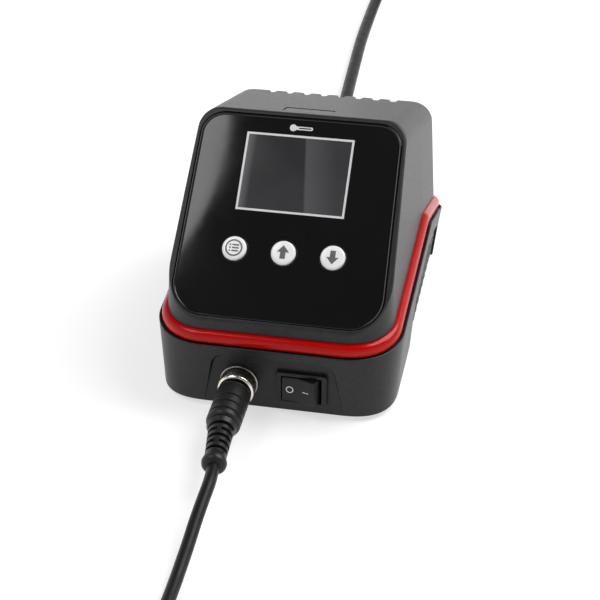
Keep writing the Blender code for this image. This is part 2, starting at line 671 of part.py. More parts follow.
def make_tool_plug():
    place = front_frame(SOCKET_X, SOCKET_Z)
    ring_low, ring_high = 2.0, 8.0
    turned("plug_collar", (
        (6.95, ring_high), (7.5, ring_high - 0.5), (7.5, ring_low + 0.4), (7.2, ring_low),
        (6.35, ring_low), (6.35, ring_high - 1.0), (5.6, ring_high - 1.0), (5.6, ring_high)),
        NICKEL, place, 24, True)
    turned("plug_core", ((0.0, 5.7), (4.6, 5.7), (4.6, 1.3), (0.0, 1.3)), CHIP_BLACK, place, 16)
    turned("plug_body", (
        (0.0, 29.5), (5.8, 29.5), (6.4, 28.8), (6.8, 22.4), (6.4, 21.6), (6.4, 20.6), (6.9, 20.2),
        (6.9, 18.8), (6.4, 18.4), (6.4, 17.4), (6.95, 17.0), (6.95, 9.6), (6.3, 8.9), (5.0, 8.5),
        (5.0, 6.3), (0.0, 6.3)), PVC_BLACK, plug_frame(), 20)
    end = BOOT_LENGTH
    profile = [(0.0, end), (3.2, end), (4.9, end - 1.2), (5.0, end - 3.4)]
    for number in range(4):
        z = end - 4.0 - 5.0 * number
        wide = 4.2 + 0.2 * number
        profile += [(3.2, z), (3.2, z - 1.4), (wide, z - 1.4), (wide + 0.1, z - 5.0)]
    profile += [(6.1, 0.75), (2.0, 0.0), (0.0, 0.0)]
    turned("plug_boot", profile, PVC_BLACK, boot_frame(), 16)


# ---------------------------------------------------------------- power supply

TRANSFORMER_Y = FRONT_Y + 108.0
TRANSFORMER_X = 12.0


def transformer_screws():
    return [(TRANSFORMER_X + side * 24.0, TRANSFORMER_Y - 20.5) for side in (-1, 1)]


def make_transformer():
    x, y = TRANSFORMER_X, TRANSFORMER_Y
    core = box(
        "transformer_core", (x - 28.5, y - 17.0, FLOOR_Z + GAP), (x + 28.5, y + 17.0, 51.8),
        LAMINATION, None, 0.6, 1)
    for side, label in ((-1, "left"), (1, "right")):
        low, high = sorted((x + side * 9.5, x + side * 19.0))
        combine(core, box("cut_window_" + label, (low, y - 30.0, 14.0), (high, y + 30.0, 43.0), None))
        low, high = sorted((x + side * 20.0, x + side * 28.5))
        lug = box("lug_" + label, (low, y - 25.0, FLOOR_Z + GAP), (high, y - 10.0, 7.3), None)
        combine(core, lug, "UNION")
    for number, (sx, sy) in enumerate(transformer_screws(), 1):
        combine(core, rod("cut_lug_%d" % number, 1.6, 0.0, 14.0, None, at(sx, sy, 0.0), 12))
        turned("transformer_screw_%d" % number, (
            (0.0, 8.4), (0.8, 8.4), (1.0, 9.4), (2.4, 9.4), (3.0, 7.6), (1.2, 7.6), (1.2, 2.2),
            (0.0, 2.2)), STEEL, at(sx, sy, 0.0), 12)
    winding = box(
        "transformer_winding", (x - 18.6, y - 24.0, 14.4), (x + 18.6, y + 24.0, 42.6),
        COPPER_TAPE, None, 2.0, 1)
    keep = 0.4
    combine(winding, box(
        "cut_leg", (x - 9.5 - keep, y - 17.0 - keep, 5.0),
        (x + 9.5 + keep, y + 17.0 + keep, 60.0), None))


def make_power_board():
    x, y = -33.0, FRONT_Y + 92.0
    box("power_board", (x - 10.0, y - 30.0, 9.8), (x + 10.0, y + 28.0, 11.4), BOARD_GREEN)
    box("board_carrier", (x - 8.0, y - 28.0, FLOOR_Z + GAP), (x + 8.0, y + 26.0, 9.5), CHIP_BLACK)
    turned("capacitor", (
        (0.0, 31.8), (6.6, 31.8), (7.0, 31.2), (7.0, 11.7), (0.0, 11.7)), CAN_BLUE,
        at(x, y + 18.0, 0.0), 20)
    heat_sink = box("heat_sink", (x - 8.0, y - 12.0, 11.7), (x + 8.0, y + 6.0, 33.8), ALUMINIUM)
    for number in range(3):
        fin = x - 5.0 + 4.0 * number
        slit = box("cut_fin_%d" % number, (fin, y - 16.0, 14.3), (fin + 2.0, y + 10.0, 40.0), None)
        combine(heat_sink, slit)
    rod("fuse", 2.6, -7.5, 7.5, FUSE_CREAM, at(x + 4.5, y - 21.0, 14.4, 90.0), 12)
    box("terminal_block", (x - 9.0, y - 28.0, 11.7), (x - 1.0, y - 13.0, 20.8), TERMINAL_GREEN, None, 0.5, 1)


# ---------------------------------------------------------------- mains lead

def gland_frame(out):
    """Local Z runs out of the rear wall, starting at the given distance behind it."""
    return at(GLAND_X, FRONT_Y + DEPTH + out, GLAND_Z, -90.0)


def make_gland():
    profile = [(0.0, 32.6), (4.3, 32.6), (4.7, 31.8)]
    for number in range(4):
        z = 29.5 - 5.8 * number
        wide = 4.8 + 0.22 * number
        profile += [(wide, z), (wide - 0.8, z), (wide - 0.8, z - 1.5), (wide, z - 1.5)]
    profile += [(6.2, 5.0), (8.2, 4.2), (8.2, 0.3), (5.0, 0.3), (5.0, -5.0), (0.0, -5.0)]
    turned("mains_gland", profile, PVC_BLACK, gland_frame(0.0), 16)


def mains_route():
    """Mains cord from its strain relief over the surface to the coil, in millimetres."""
    rear = FRONT_Y + DEPTH
    low = MAINS_DIAMETER / 2 + 0.3
    return (
        (GLAND_X, rear + 33.0, GLAND_Z), (GLAND_X - 0.3, rear + 48.0, 13.6),
        (GLAND_X - 1.2, rear + 68.0, 9.6), (GLAND_X - 2.6, rear + 90.0, 5.2),
        (GLAND_X - 4.2, rear + 114.0, low), (GLAND_X - 6.6, rear + 150.0, low),
        (GLAND_X - 9.6, rear + 195.0, low), (GLAND_X - 12.6, rear + 245.0, low),
        (GLAND_X - 14.0, rear + 295.0, low), (GLAND_X - 14.0, rear + 335.0, low))


def make_mains_lead():
    points = mains_route()
    tube("mains_cord", points, MAINS_DIAMETER, PVC_BLACK, 2.4 * MAINS_DIAMETER, 3)
    inner, outer = MAINS_COIL_RADII
    high = MAINS_COIL_HEIGHT
    turned("mains_cord_coil", (
        (outer - 2.0, high), (outer, high - 2.0), (outer, 2.0), (outer - 2.0, 0.0), (inner + 2.0, 0.0),
        (inner, 2.0), (inner, high - 2.0), (inner + 2.0, high)), PVC_BLACK, at(*MAINS_COIL, 0.0), 24, True)


def make_mains_plug():
    """Flat two-pin plug lying past the coil, in line with the cord that leaves it."""
    x, y = MAINS_PLUG
    height = 14.0
    tail, face = 22.0, 14.0
    outline = fillet((
        (-6.0, -tail, 3.0), (6.0, -tail, 3.0), (17.5, 0.0, 6.0), (17.5, face, 1.5),
        (-17.5, face, 1.5), (-17.5, 0.0, 6.0)), 3)
    body = prism("mains_plug", outline, 0.0, height, PVC_BLACK, at(x, y, 0.0))
    soften = body.modifiers.new("soften", "BEVEL")
    soften.width = 1.2 * MM
    soften.segments = 2
    soften.limit_method = "ANGLE"
    soften.angle_limit = math.radians(60.0)
    turned("mains_plug_boot", (
        (0.0, 24.0), (4.4, 24.0), (4.8, 22.0), (5.6, GAP), (0.0, GAP)), PVC_BLACK,
        at(x, y - tail, height / 2, 90.0), 16)
    for number, side in enumerate((-1, 1), 1):
        pin = at(x + side * 9.5, y + face + GAP, height / 2, -90.0)
        turned("plug_pin_%d" % number, (
            (0.0, 19.0), (1.4, 19.0), (2.4, 18.0), (2.4, 0.0), (0.0, 0.0)), NICKEL, pin, 12)


# ---------------------------------------------------------------- tool lead and iron

def tool_route():
    """Tool lead from the plug's strain relief down to the surface and on to the coil."""
    start, next_on = [
        boot_frame() @ Vector((0.0, 0.0, (BOOT_LENGTH + run) * MM)) / MM for run in (1.1, 7.0)]
    low = TOOL_DIAMETER / 2 + 0.3
    return (
        tuple(start), tuple(next_on), (SOCKET_X + 2.9, FRONT_Y - 77.0, 8.9),
        (SOCKET_X + 2.5, FRONT_Y - 91.0, 5.3), (SOCKET_X + 2.3, FRONT_Y - 109.0, low),
        (SOCKET_X + 2.3, FRONT_Y - 127.0, low), (SOCKET_X + 2.3, FRONT_Y - 139.3, low))


def make_tool_lead():
    tube("tool_cord", tool_route(), TOOL_DIAMETER, PVC_BLACK, 2.6 * TOOL_DIAMETER, 2)
    inner, outer = TOOL_COIL_RADII
    high = TOOL_COIL_HEIGHT
    turned("tool_cord_coil", (
        (outer - 1.5, high), (outer, high - 1.5), (outer, 1.5), (outer - 1.5, 0.0), (inner + 1.5, 0.0),
        (inner, 1.5), (inner, high - 1.5), (inner + 1.5, high)), PVC_BLACK, at(*TOOL_COIL, 0.0), 24, True)


def make_iron():
    """Pencil iron lying along -Y, its strain relief towards the coil."""
    place = at(IRON_X, IRON_Y, IRON_Z, 90.0)
    turned("iron_boot", (
        (0.0, 22.0), (4.8, 22.0), (4.4, 12.0), (3.6, 1.0), (3.3, 0.0), (0.0, 0.0)), PVC_BLACK, place, 16)
    turned("iron_handle", (
        (0.0, 102.0), (7.4, 102.0), (7.6, 96.0), (7.8, 70.0), (8.4, 36.0), (7.2, 24.0), (6.4, 22.3),
        (0.0, 22.3)), BLACK_ABS, place, 20)
    turned("iron_grip", (
        (0.0, 124.0), (6.0, 124.0), (6.0, 132.0), (9.0, 132.0), (12.5, 131.0), (12.5, 127.5),
        (9.6, 124.0), (9.2, 113.0), (9.8, 103.0), (9.2, 102.3), (0.0, 102.3)), GRIP_RED, place, 20)
    turned("iron_nut", (
        (0.0, 140.0), (4.6, 140.0), (5.6, 139.0), (5.6, 124.3), (0.0, 124.3)), NICKEL, place, 20)
    turned("iron_barrel", (
        (0.0, 178.0), (2.9, 178.0), (3.4, 177.0), (3.4, 140.3), (0.0, 140.3)), STEEL, place, 20)
    turned("iron_tip", (
        (0.0, 203.0), (0.5, 202.6), (2.4, 190.0), (2.4, 178.3), (0.0, 178.3)), TIP_COPPER, place, 16)


clear_scene()
PARTS = new_collection("soldering_station")
CUTTERS = new_collection("cutters")
make_lower_shell()
make_trim_ring()
make_upper_shell()
make_feet()
make_case_screws()
make_front_panel()
make_display()
make_status_light()
make_control_board()
make_buttons()
make_power_switch()
make_socket()
make_tool_plug()
make_transformer()
make_power_board()
make_gland()
make_mains_lead()
make_mains_plug()
make_tool_lead()
make_iron()
bpy.context.view_layer.update()
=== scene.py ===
import math

import bmesh
import bpy
from mathutils import Matrix, Vector


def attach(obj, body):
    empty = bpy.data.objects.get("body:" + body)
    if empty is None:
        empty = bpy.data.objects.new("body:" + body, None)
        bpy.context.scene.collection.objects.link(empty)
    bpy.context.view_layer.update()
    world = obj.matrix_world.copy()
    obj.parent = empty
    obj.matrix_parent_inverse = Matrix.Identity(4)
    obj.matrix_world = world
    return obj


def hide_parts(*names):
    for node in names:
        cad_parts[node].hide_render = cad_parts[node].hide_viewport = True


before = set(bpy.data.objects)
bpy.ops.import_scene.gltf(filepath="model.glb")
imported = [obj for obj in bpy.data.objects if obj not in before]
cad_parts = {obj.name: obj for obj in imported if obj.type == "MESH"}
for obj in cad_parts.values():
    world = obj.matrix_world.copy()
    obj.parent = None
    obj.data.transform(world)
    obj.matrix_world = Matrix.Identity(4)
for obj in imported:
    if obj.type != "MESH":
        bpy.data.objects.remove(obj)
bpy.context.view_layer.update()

# The looks of a bench soldering station. Sizes are in millimetres and become metres in meshes.
MM = 0.001
GAP = 0.3

# Outline and parting line of the box, as in the CAD
WIDTH = 102.0
DEPTH = 154.0
FLARE = math.tan(math.radians(0.7))
SOCKET_REACH = 3.9
FRONT_Y = -(DEPTH - SOCKET_REACH) / 2
REAR_Y = FRONT_Y + DEPTH
FRONT_RADIUS = 22.2
REAR_RADIUS = 16.5
BASE_DRAFT = math.radians(3.3)
LID_DRAFT = math.radians(3.75)
WALL = 2.4
RIM_Z = 30.6
RIM_START = 8.0
RIM_PEAK = 100.0
RIM_RISE = math.tan(math.radians(6.5))
RIM_FALL = math.tan(math.radians(17.4))
RIM_BLEND = 0.5
SIDE_BREAKS = (44.0, 62.0, 80.0, 92.0, 97.0, 98.6, 99.5, 100.2, 101.0, 102.0, 105.0, 112.0, 124.0)

# Lower half
UNDERSIDE_Z = 1.8
FLOOR_Z = 4.6
FOOT_ROUND = 1.0
FOOT_BULGE = 1.4
BASE_WALL = 3.0
LEDGE = 5.6
VENTS = 8
VENT_PITCH = 8.0
SIDE_VENTS = 9
SIDE_VENT_PITCH = 7.4
SIDE_PANEL_DEPTH = 1.2
SIDE_PANEL = (
    (56.0, -3.0, 0.0), (139.5, -3.0, 0.0), (139.5, 20.0, 2.0), (104.0, 34.0, 3.0), (56.0, 25.5, 3.0))
POST_X = 40.5
POST_RUNS = (38.0, 130.0)
TRANSFORMER_X = 12.0
TRANSFORMER_SCREW = 24.0
TRANSFORMER_RUN = 87.5

# Band and upper half
TRIM_HEIGHT = 4.9
TRIM_REACH = 4.2
TRIM_INSET = 1.32
TRIM_FACE = 1.9
LID_INSET = 4.1
PANEL_TILT = 43.4
PANEL_Y = FRONT_Y + 5.7
PANEL_Z = 41.2
PANEL_WALL = 3.8
PANEL_RECESS = 1.8
ROOF_TILT = 17.4
ROOF_Y = FRONT_Y + 68.0
ROOF_Z = 103.5
ROOF_RADIUS = 8.6
EDGE_RADIUS = 1.0
CARRIER_X = 29.5

# Control panel; a visible key cap is a little smaller than its solid
GLASS_LENGTH = 87.6
GLASS_HALF_LOW = 43.7
GLASS_HALF_HIGH = 41.9
GLASS_THICKNESS = 1.2
DISPLAY_S = 62.8
WINDOW = (22.5, 17.0)
MODULE = (25.0, 19.5)
BUTTON_S = 29.1
BUTTON_PITCH = 20.3
BUTTON_RADIUS = 5.3
CAP_RADIUS = 5.1
PRINT_LINE = 0.9
PRINT_LOW = -0.6
PRINT_HIGH = -0.39

# Front recess, switch, socket and plug
FACE_Y = FRONT_Y + 1.9
RECESS_LEFT = -23.0
RECESS_RIGHT = 24.6
RECESS_TOP = 26.2
RECESS_SPREAD = 7.0
SWITCH_X = 12.6
SWITCH_Z = 13.7
SOCKET_X = -13.3
SOCKET_Z = 13.7
ROCKER_DEPTH = 5.0
ROCKER_SWING = 22.0
COLLAR_LOW = 2.0
COLLAR_HIGH = 8.0
PLUG_RADIUS = 6.95
PLUG_PIVOT = 7.0
PLUG_GROOVES = (26.9, 22.6, 18.3)
PLUG_SAG = 3.0
BOOT_BASE = 30.1
BOOT_LENGTH = 26.0
BOOT_YAW = 6.5

# Cords, their bend reliefs and the iron
GLAND_X = -15.0
GLAND_Z = 14.5
MAINS_DIAMETER = 7.2
TOOL_DIAMETER = 5.0
BENCH_GAP = 0.3
COIL_TURNS = 5.0
COIL_CLIMB = 0.35
MAINS_COIL = (10.5, FRONT_Y + 548.0)
MAINS_COIL_RADIUS = 48.5
TOOL_COIL = (16.5, FRONT_Y - 178.0)
TOOL_COIL_RADIUS = 33.4
IRON_X = -11.0
IRON_Y = FRONT_Y - 216.0
IRON_Z = 12.5


# ---------------------------------------------------------------- camera

def make_camera():
    turn, rise, roll = (math.radians(value) for value in (11.35, 31.71, -0.14))
    distance = 630.2
    target = Vector((4.26, FRONT_Y + 40.0, 31.35))
    back = Vector((math.sin(turn) * math.cos(rise), -math.cos(turn) * math.cos(rise), math.sin(rise)))
    right = Vector((math.cos(turn), math.sin(turn), 0.0))
    up = back.cross(right)
    across = right * math.cos(roll) + up * math.sin(roll)
    upward = up * math.cos(roll) - right * math.sin(roll)
    place = Matrix((across, upward, back)).transposed().to_4x4()
    place.translation = (target + back * distance) * MM
    lens = bpy.data.cameras.new("camera")
    lens.sensor_width = 36.0
    lens.lens = 89.97
    lens.clip_start = 0.01
    camera = bpy.data.objects.new("camera", lens)
    bpy.context.scene.collection.objects.link(camera)
    camera.matrix_world = place
    bpy.context.scene.camera = camera


make_camera()


# ---------------------------------------------------------------- materials

def wire(tree, source, target):
    tree.links.new(source, target)


def noise(tree, coords, scale, detail=4.0, roughness=0.55):
    made = tree.nodes.new("ShaderNodeTexNoise")
    made.inputs["Scale"].default_value = scale
    made.inputs["Detail"].default_value = detail
    made.inputs["Roughness"].default_value = roughness
    wire(tree, coords, made.inputs["Vector"])
    return made.outputs["Fac"]


def spread(tree, value, low, high, start=0.3, end=0.7):
    """Carries a value from start..end to low..high."""
    made = tree.nodes.new("ShaderNodeMapRange")
    made.inputs["From Min"].default_value = start
    made.inputs["From Max"].default_value = end
    made.inputs["To Min"].default_value = low
    made.inputs["To Max"].default_value = high
    wire(tree, value, made.inputs["Value"])
    return made.outputs["Result"]


def blend_colours(tree, factor, first, second):
    made = tree.nodes.new("ShaderNodeMix")
    made.data_type = "RGBA"
    made.inputs["A"].default_value = (*first, 1.0)
    made.inputs["B"].default_value = (*second, 1.0)
    wire(tree, factor, made.inputs["Factor"])
    return made.outputs["Result"]


def relief(tree, height, depth, normal=None):
    """Bump of the given depth in millimetres."""
    made = tree.nodes.new("ShaderNodeBump")
    made.inputs["Strength"].default_value = 1.0
    made.inputs["Distance"].default_value = depth * MM
    wire(tree, height, made.inputs["Height"])
    if normal is not None:
        wire(tree, normal, made.inputs["Normal"])
    return made.outputs["Normal"]


def surface(name, colour, rough, metallic=0.0, vary=0.12, vary_scale=45.0, play=0.06,
            grain=0.0, grain_scale=1800.0, edge=0.0, specular=0.5, coat=0.0, coat_rough=0.1):
    """Principled material whose colour, gloss and fine relief vary over the surface."""
    material = bpy.data.materials.new(name)
    material.use_nodes = True
    tree = material.node_tree
    shader = tree.nodes["Principled BSDF"]
    coords = tree.nodes.new("ShaderNodeTexCoord").outputs["Object"]
    patches = noise(tree, coords, vary_scale)
    low = [channel * (1.0 - vary) for channel in colour]
    high = [min(1.0, channel * (1.0 + vary)) for channel in colour]
    factor = spread(tree, patches, 0.0, 1.0)
    wire(tree, blend_colours(tree, factor, low, high), shader.inputs["Base Color"])
    smears = noise(tree, coords, vary_scale * 3.1, 6.0, 0.65)
    wire(tree, spread(tree, smears, max(0.0, rough - play), min(1.0, rough + play)),
         shader.inputs["Roughness"])
    normal = None
    if edge:
        round_off = tree.nodes.new("ShaderNodeBevel")
        round_off.samples = 4
        round_off.inputs["Radius"].default_value = edge * MM
        normal = round_off.outputs["Normal"]
    if grain:
        pits = noise(tree, coords, grain_scale, 3.0, 0.6)
        normal = relief(tree, pits, grain, normal)
    if normal is not None:
        wire(tree, normal, shader.inputs["Normal"])
    shader.inputs["Metallic"].default_value = metallic
    shader.inputs["Specular IOR Level"].default_value = specular
    shader.inputs["Coat Weight"].default_value = coat
    shader.inputs["Coat Roughness"].default_value = coat_rough
    return material


def shader_of(material):
    return material.node_tree.nodes["Principled BSDF"]


def around(tree, coords):
    """Angle round the local Z axis, and height along it."""
    parts = tree.nodes.new("ShaderNodeSeparateXYZ")
    wire(tree, coords, parts.inputs["Vector"])
    angle = tree.nodes.new("ShaderNodeMath")
    angle.operation = "ARCTAN2"
    wire(tree, parts.outputs["Y"], angle.inputs[0])
    wire(tree, parts.outputs["X"], angle.inputs[1])
    return angle.outputs["Value"], parts.outputs["Z"]


def wave(tree, angle, height, count, lead):
    """sin(count * angle + lead * height), as a node value."""
    turns = tree.nodes.new("ShaderNodeMath")
    turns.operation = "MULTIPLY"
    turns.inputs[1].default_value = count
    wire(tree, angle, turns.inputs[0])
    rise = tree.nodes.new("ShaderNodeMath")
    rise.operation = "MULTIPLY_ADD"
    rise.inputs[1].default_value = lead
    wire(tree, height, rise.inputs[0])
    wire(tree, turns.outputs["Value"], rise.inputs[2])
    made = tree.nodes.new("ShaderNodeMath")
    made.operation = "SINE"
    wire(tree, rise.outputs["Value"], made.inputs[0])
    return made.outputs["Value"]


def knurled(name, colour, rough, count=54, lead=3600.0, depth=0.22):
    """Diamond knurl: two crossing sets of ridges round local Z."""
    material = surface(name, colour, rough, 1.0, 0.2, 300.0, 0.08)
    tree = material.node_tree
    coords = tree.nodes.new("ShaderNodeTexCoord").outputs["Object"]
    angle, height = around(tree, coords)
    first = wave(tree, angle, height, count, lead)
    second = wave(tree, angle, height, count, -lead)
    both = tree.nodes.new("ShaderNodeMath")
    both.operation = "MAXIMUM"
    wire(tree, first, both.inputs[0])
    wire(tree, second, both.inputs[1])
    wire(tree, relief(tree, both.outputs["Value"], depth), shader_of(material).inputs["Normal"])
    return material


def ramp_of(tree, value, start, end, low, high):
    """Clamped linear ramp between two lengths given in millimetres."""
    return spread(tree, value, low, high, start * MM, end * MM)


def combine(tree, operation, first, second):
    made = tree.nodes.new("ShaderNodeMath")
    made.operation = operation
    for slot, value in zip(made.inputs, (first, second)):
        if isinstance(value, float):
            slot.default_value = value
        else:
            wire(tree, value, slot)
    return made.outputs["Value"]


def add_painted_reflection(material, light):
    """Painted reflection: paints a paler slanting streak and left edge into the colour, standing for a
    soft reflection.
    """
    tree = material.node_tree
    parts = tree.nodes.new("ShaderNodeSeparateXYZ")
    wire(tree, tree.nodes.new("ShaderNodeTexCoord").outputs["Object"], parts.inputs["Vector"])
    across = parts.outputs["X"]
    lean = combine(tree, "ADD", across, combine(tree, "MULTIPLY", parts.outputs["Y"], 0.11))
    # Painted reflection: a paler streak slanting across the window, fading towards the right.
    reflection_streak = combine(tree, "MULTIPLY", ramp_of(tree, lean, 3.6, 4.6, 0.0, 1.0),
                     ramp_of(tree, lean, 4.6, 17.0, 0.60, 0.16))
    # Painted highlight along the window's left edge.
    rim = ramp_of(tree, across, -21.6, -18.0, 0.95, 0.0)
    base = shader_of(material).inputs["Base Color"]
    made = tree.nodes.new("ShaderNodeMix")
    made.data_type = "RGBA"
    wire(tree, base.links[0].from_socket, made.inputs["A"])
    made.inputs["B"].default_value = (*light, 1.0)
    wire(tree, combine(tree, "MAXIMUM", reflection_streak, rim), made.inputs["Factor"])
    wire(tree, made.outputs["Result"], base)


CASE = surface("case_plastic", (0.015, 0.015, 0.0161), 0.36, vary=0.18, vary_scale=420.0, play=0.06,
               grain=0.08, grain_scale=1200.0, specular=0.27)
CASE_TOP = surface("lid_plastic", (0.019, 0.019, 0.0206), 0.38, vary=0.18, vary_scale=420.0, play=0.06,
                   grain=0.08, grain_scale=1200.0, specular=0.29)
TRIM = surface("red_band_plastic", (0.42, 0.0012, 0.001), 0.20, vary=0.10, vary_scale=25.0, play=0.05,
               grain=0.01, grain_scale=900.0, specular=0.22)
GLASS = surface("panel_gloss", (0.0045, 0.0045, 0.005), 0.05, vary=0.3, vary_scale=12.0, play=0.02,
                grain=0.004, grain_scale=60.0, specular=0.5)
WINDOW_TINT_AND_REFLECTION = surface("display_window", (0.030, 0.030, 0.032), 0.10, vary=0.35, vary_scale=14.0,
                      play=0.02, specular=0.5)
# The window's tint gets a painted reflection: a paler slanting streak and a lighter left edge.
add_painted_reflection(WINDOW_TINT_AND_REFLECTION, (0.115, 0.115, 0.120))
PRINT_GREY = surface("printed_line", (0.62, 0.62, 0.62), 0.35, vary=0.05, vary_scale=200.0)
KEY = surface("key_white", (0.83, 0.83, 0.82), 0.22, vary=0.03, vary_scale=150.0, play=0.05,
              grain=0.004, grain_scale=800.0)
KEY_PRINT = surface("key_print", (0.10, 0.10, 0.105), 0.4, vary=0.12, vary_scale=400.0)
SWITCH = surface("switch_plastic", (0.009, 0.009, 0.010), 0.34, vary=0.2, vary_scale=120.0,
                 grain=0.012, grain_scale=1400.0, edge=0.2, specular=0.27)
SWITCH_PRINT = surface("switch_print", (0.75, 0.75, 0.74), 0.45, vary=0.08, vary_scale=500.0)
CABLE = surface("cable_jacket", (0.008, 0.008, 0.009), 0.40, vary=0.15, vary_scale=60.0, play=0.08,
                grain=0.03, grain_scale=900.0, specular=0.18)
MOULDED = surface("moulded_rubber", (0.009, 0.009, 0.010), 0.42, vary=0.2, vary_scale=140.0, play=0.07,
                  grain=0.02, grain_scale=1500.0, edge=0.25, specular=0.32)
RUBBER = surface("foot_rubber", (0.015, 0.015, 0.015), 0.82, vary=0.3, vary_scale=250.0, play=0.08,
                 grain=0.05, grain_scale=1500.0)
DARK_NICKEL = surface("dark_nickel", (0.30, 0.27, 0.24), 0.28, 1.0, vary=0.15, vary_scale=200.0,
                      play=0.08, grain=0.01, grain_scale=2500.0, edge=0.2)
BRIGHT_NICKEL = surface("bright_nickel", (0.80, 0.73, 0.64), 0.22, 1.0, vary=0.08, vary_scale=300.0,
                        play=0.06, grain=0.006, grain_scale=3000.0)
KNURL = knurled("knurled_collar", (0.13, 0.12, 0.11), 0.34)
STEEL = surface("zinc_steel", (0.56, 0.57, 0.58), 0.34, 1.0, vary=0.12, vary_scale=250.0, play=0.1,
                grain=0.02, grain_scale=1800.0)
LENS = surface("status_lens", (0.040, 0.024, 0.027), 0.36, vary=0.08, vary_scale=150.0, grain=0.01,
               grain_scale=700.0, specular=0.27)
LED = surface("led_red", (0.75, 0.02, 0.015), 0.12, vary=0.15, vary_scale=300.0)
BOARD = surface("solder_mask", (0.012, 0.15, 0.045), 0.35, vary=0.35, vary_scale=420.0, grain=0.03,
                grain_scale=500.0)
CHIP = surface("moulded_epoxy", (0.018, 0.018, 0.019), 0.55, vary=0.2, vary_scale=300.0, grain=0.03,
               grain_scale=2500.0)
LAMINATION = surface("lamination", (0.20, 0.20, 0.215), 0.42, 0.9, vary=0.3, vary_scale=90.0, play=0.12,
                     grain=0.02, grain_scale=1200.0)
TAPE = surface("winding_tape", (0.72, 0.52, 0.10), 0.28, vary=0.15, vary_scale=60.0, grain=0.03,
               grain_scale=300.0)
ALUMINIUM = surface("heat_sink_aluminium", (0.74, 0.75, 0.77), 0.36, 1.0, vary=0.08, vary_scale=200.0,
                    play=0.1, grain=0.02, grain_scale=1500.0)
SLEEVE = surface("capacitor_sleeve", (0.03, 0.045, 0.20), 0.30, vary=0.12, vary_scale=150.0, grain=0.01)
CERAMIC = surface("fuse_ceramic", (0.80, 0.77, 0.69), 0.4, vary=0.06, vary_scale=250.0, grain=0.02)
TERMINAL = surface("terminal_green", (0.03, 0.30, 0.09), 0.42, vary=0.12, vary_scale=200.0, grain=0.02,
                   edge=0.3)
GRIP = surface("grip_silicone", (0.42, 0.010, 0.010), 0.62, vary=0.12, vary_scale=120.0, grain=0.05,
               grain_scale=900.0)
TIP = surface("plated_tip", (0.40, 0.33, 0.29), 0.36, 1.0, vary=0.35, vary_scale=160.0, play=0.14,
              grain=0.03, grain_scale=900.0)
DISPLAY_GLASS = surface("display_module", (0.05, 0.055, 0.06), 0.12, vary=0.2, vary_scale=60.0)
FLOOR = surface("studio_floor", (0.45, 0.45, 0.45), 0.65, vary=0.012, vary_scale=3.0, play=0.05,
                specular=0.2)
shader_of(FLOOR).inputs["Emission Color"].default_value = (1.0, 1.0, 1.0, 1.0)
shader_of(FLOOR).inputs["Emission Strength"].default_value = 0.62


# ---------------------------------------------------------------- modelling helpers

def at(x, y, z, turn=0.0, axis="X"):
    """Placing matrix from a point in millimetres and one turn in degrees."""
    return Matrix.Translation(Vector((x, y, z)) * MM) @ Matrix.Rotation(math.radians(turn), 4, axis)


TOOLS = []


def add_mesh(name, bm, place=None):
    """Turns millimetre geometry into an object in metres."""
    bmesh.ops.scale(bm, vec=(MM, MM, MM), verts=bm.verts)
    bmesh.ops.recalc_face_normals(bm, faces=bm.faces)
    mesh = bpy.data.meshes.new(name)
    bm.to_mesh(mesh)
    bm.free()
    item = bpy.data.objects.new(name, mesh)
    bpy.context.scene.collection.objects.link(item)
    if place is not None:
        item.matrix_world = place
    return item


def cube(low, high, bevel=0.0, steps=3):
    bm = bmesh.new()
    bmesh.ops.create_cube(bm, size=1.0)
    bmesh.ops.scale(bm, vec=Vector(high) - Vector(low), verts=bm.verts)
    bmesh.ops.translate(bm, vec=(Vector(low) + Vector(high)) / 2, verts=bm.verts)
    if bevel:
        bmesh.ops.bevel(bm, geom=bm.edges[:], offset=bevel, segments=steps, profile=0.5, affect="EDGES")
    return bm


def rod(radius, low, high, sides=48):
    bm = bmesh.new()
    bmesh.ops.create_cone(
        bm, cap_ends=True, segments=sides, radius1=radius, radius2=radius, depth=high - low)
    bmesh.ops.translate(bm, vec=(0.0, 0.0, (low + high) / 2), verts=bm.verts)
    return bm


def fillet(corners, steps=10):
    """Closed outline with round corners, from (x, y, radius) points in order."""
    outline = []
    for i, (x, y, radius) in enumerate(corners):
        here = Vector((x, y))
        before = Vector(corners[i - 1][:2])
        after = Vector(corners[(i + 1) % len(corners)][:2])
        if radius <= 0.0:
            outline.append((x, y))
            continue
        back = (before - here).normalized()
        ahead = (after - here).normalized()
        half = back.angle(ahead) / 2
        centre = here + (back + ahead).normalized() * radius / math.sin(half)
        start = here + back * radius / math.tan(half) - centre
        end = here + ahead * radius / math.tan(half) - centre
        sweep = start.angle_signed(end)
        for k in range(steps + 1):
            turn = -sweep * k / steps
            outline.append((
                centre.x + start.x * math.cos(turn) - start.y * math.sin(turn),
                centre.y + start.x * math.sin(turn) + start.y * math.cos(turn)))
    return outline


def circle(radius, count):
    turns = [math.tau * k / count for k in range(count)]
    return [(radius * math.cos(turn), radius * math.sin(turn)) for turn in turns]


def prism(outline, low, high):
    bm = bmesh.new()
    face = bm.faces.new([bm.verts.new((x, y, low)) for x, y in outline])
    grown = bmesh.ops.extrude_face_region(bm, geom=[face])
    top = [v for v in grown["geom"] if isinstance(v, bmesh.types.BMVert)]
    bmesh.ops.translate(bm, vec=(0.0, 0.0, high - low), verts=top)
    return bm


def stack(rings, closed=False):
    """Skin through rings of equally many points; an open stack is capped at both ends."""
    bm = bmesh.new()
    loops = [[bm.verts.new(point) for point in ring] for ring in rings]
    pairs = list(zip(loops, loops[1:]))
    if closed:
        pairs.append((loops[-1], loops[0]))
    for low, high in pairs:
        for i in range(len(low)):
            j = (i + 1) % len(low)
            bm.faces.new((low[i], low[j], high[j], high[i]))
    if not closed:
        bm.faces.new(list(reversed(loops[0])))
        bm.faces.new(loops[-1])
    return bm


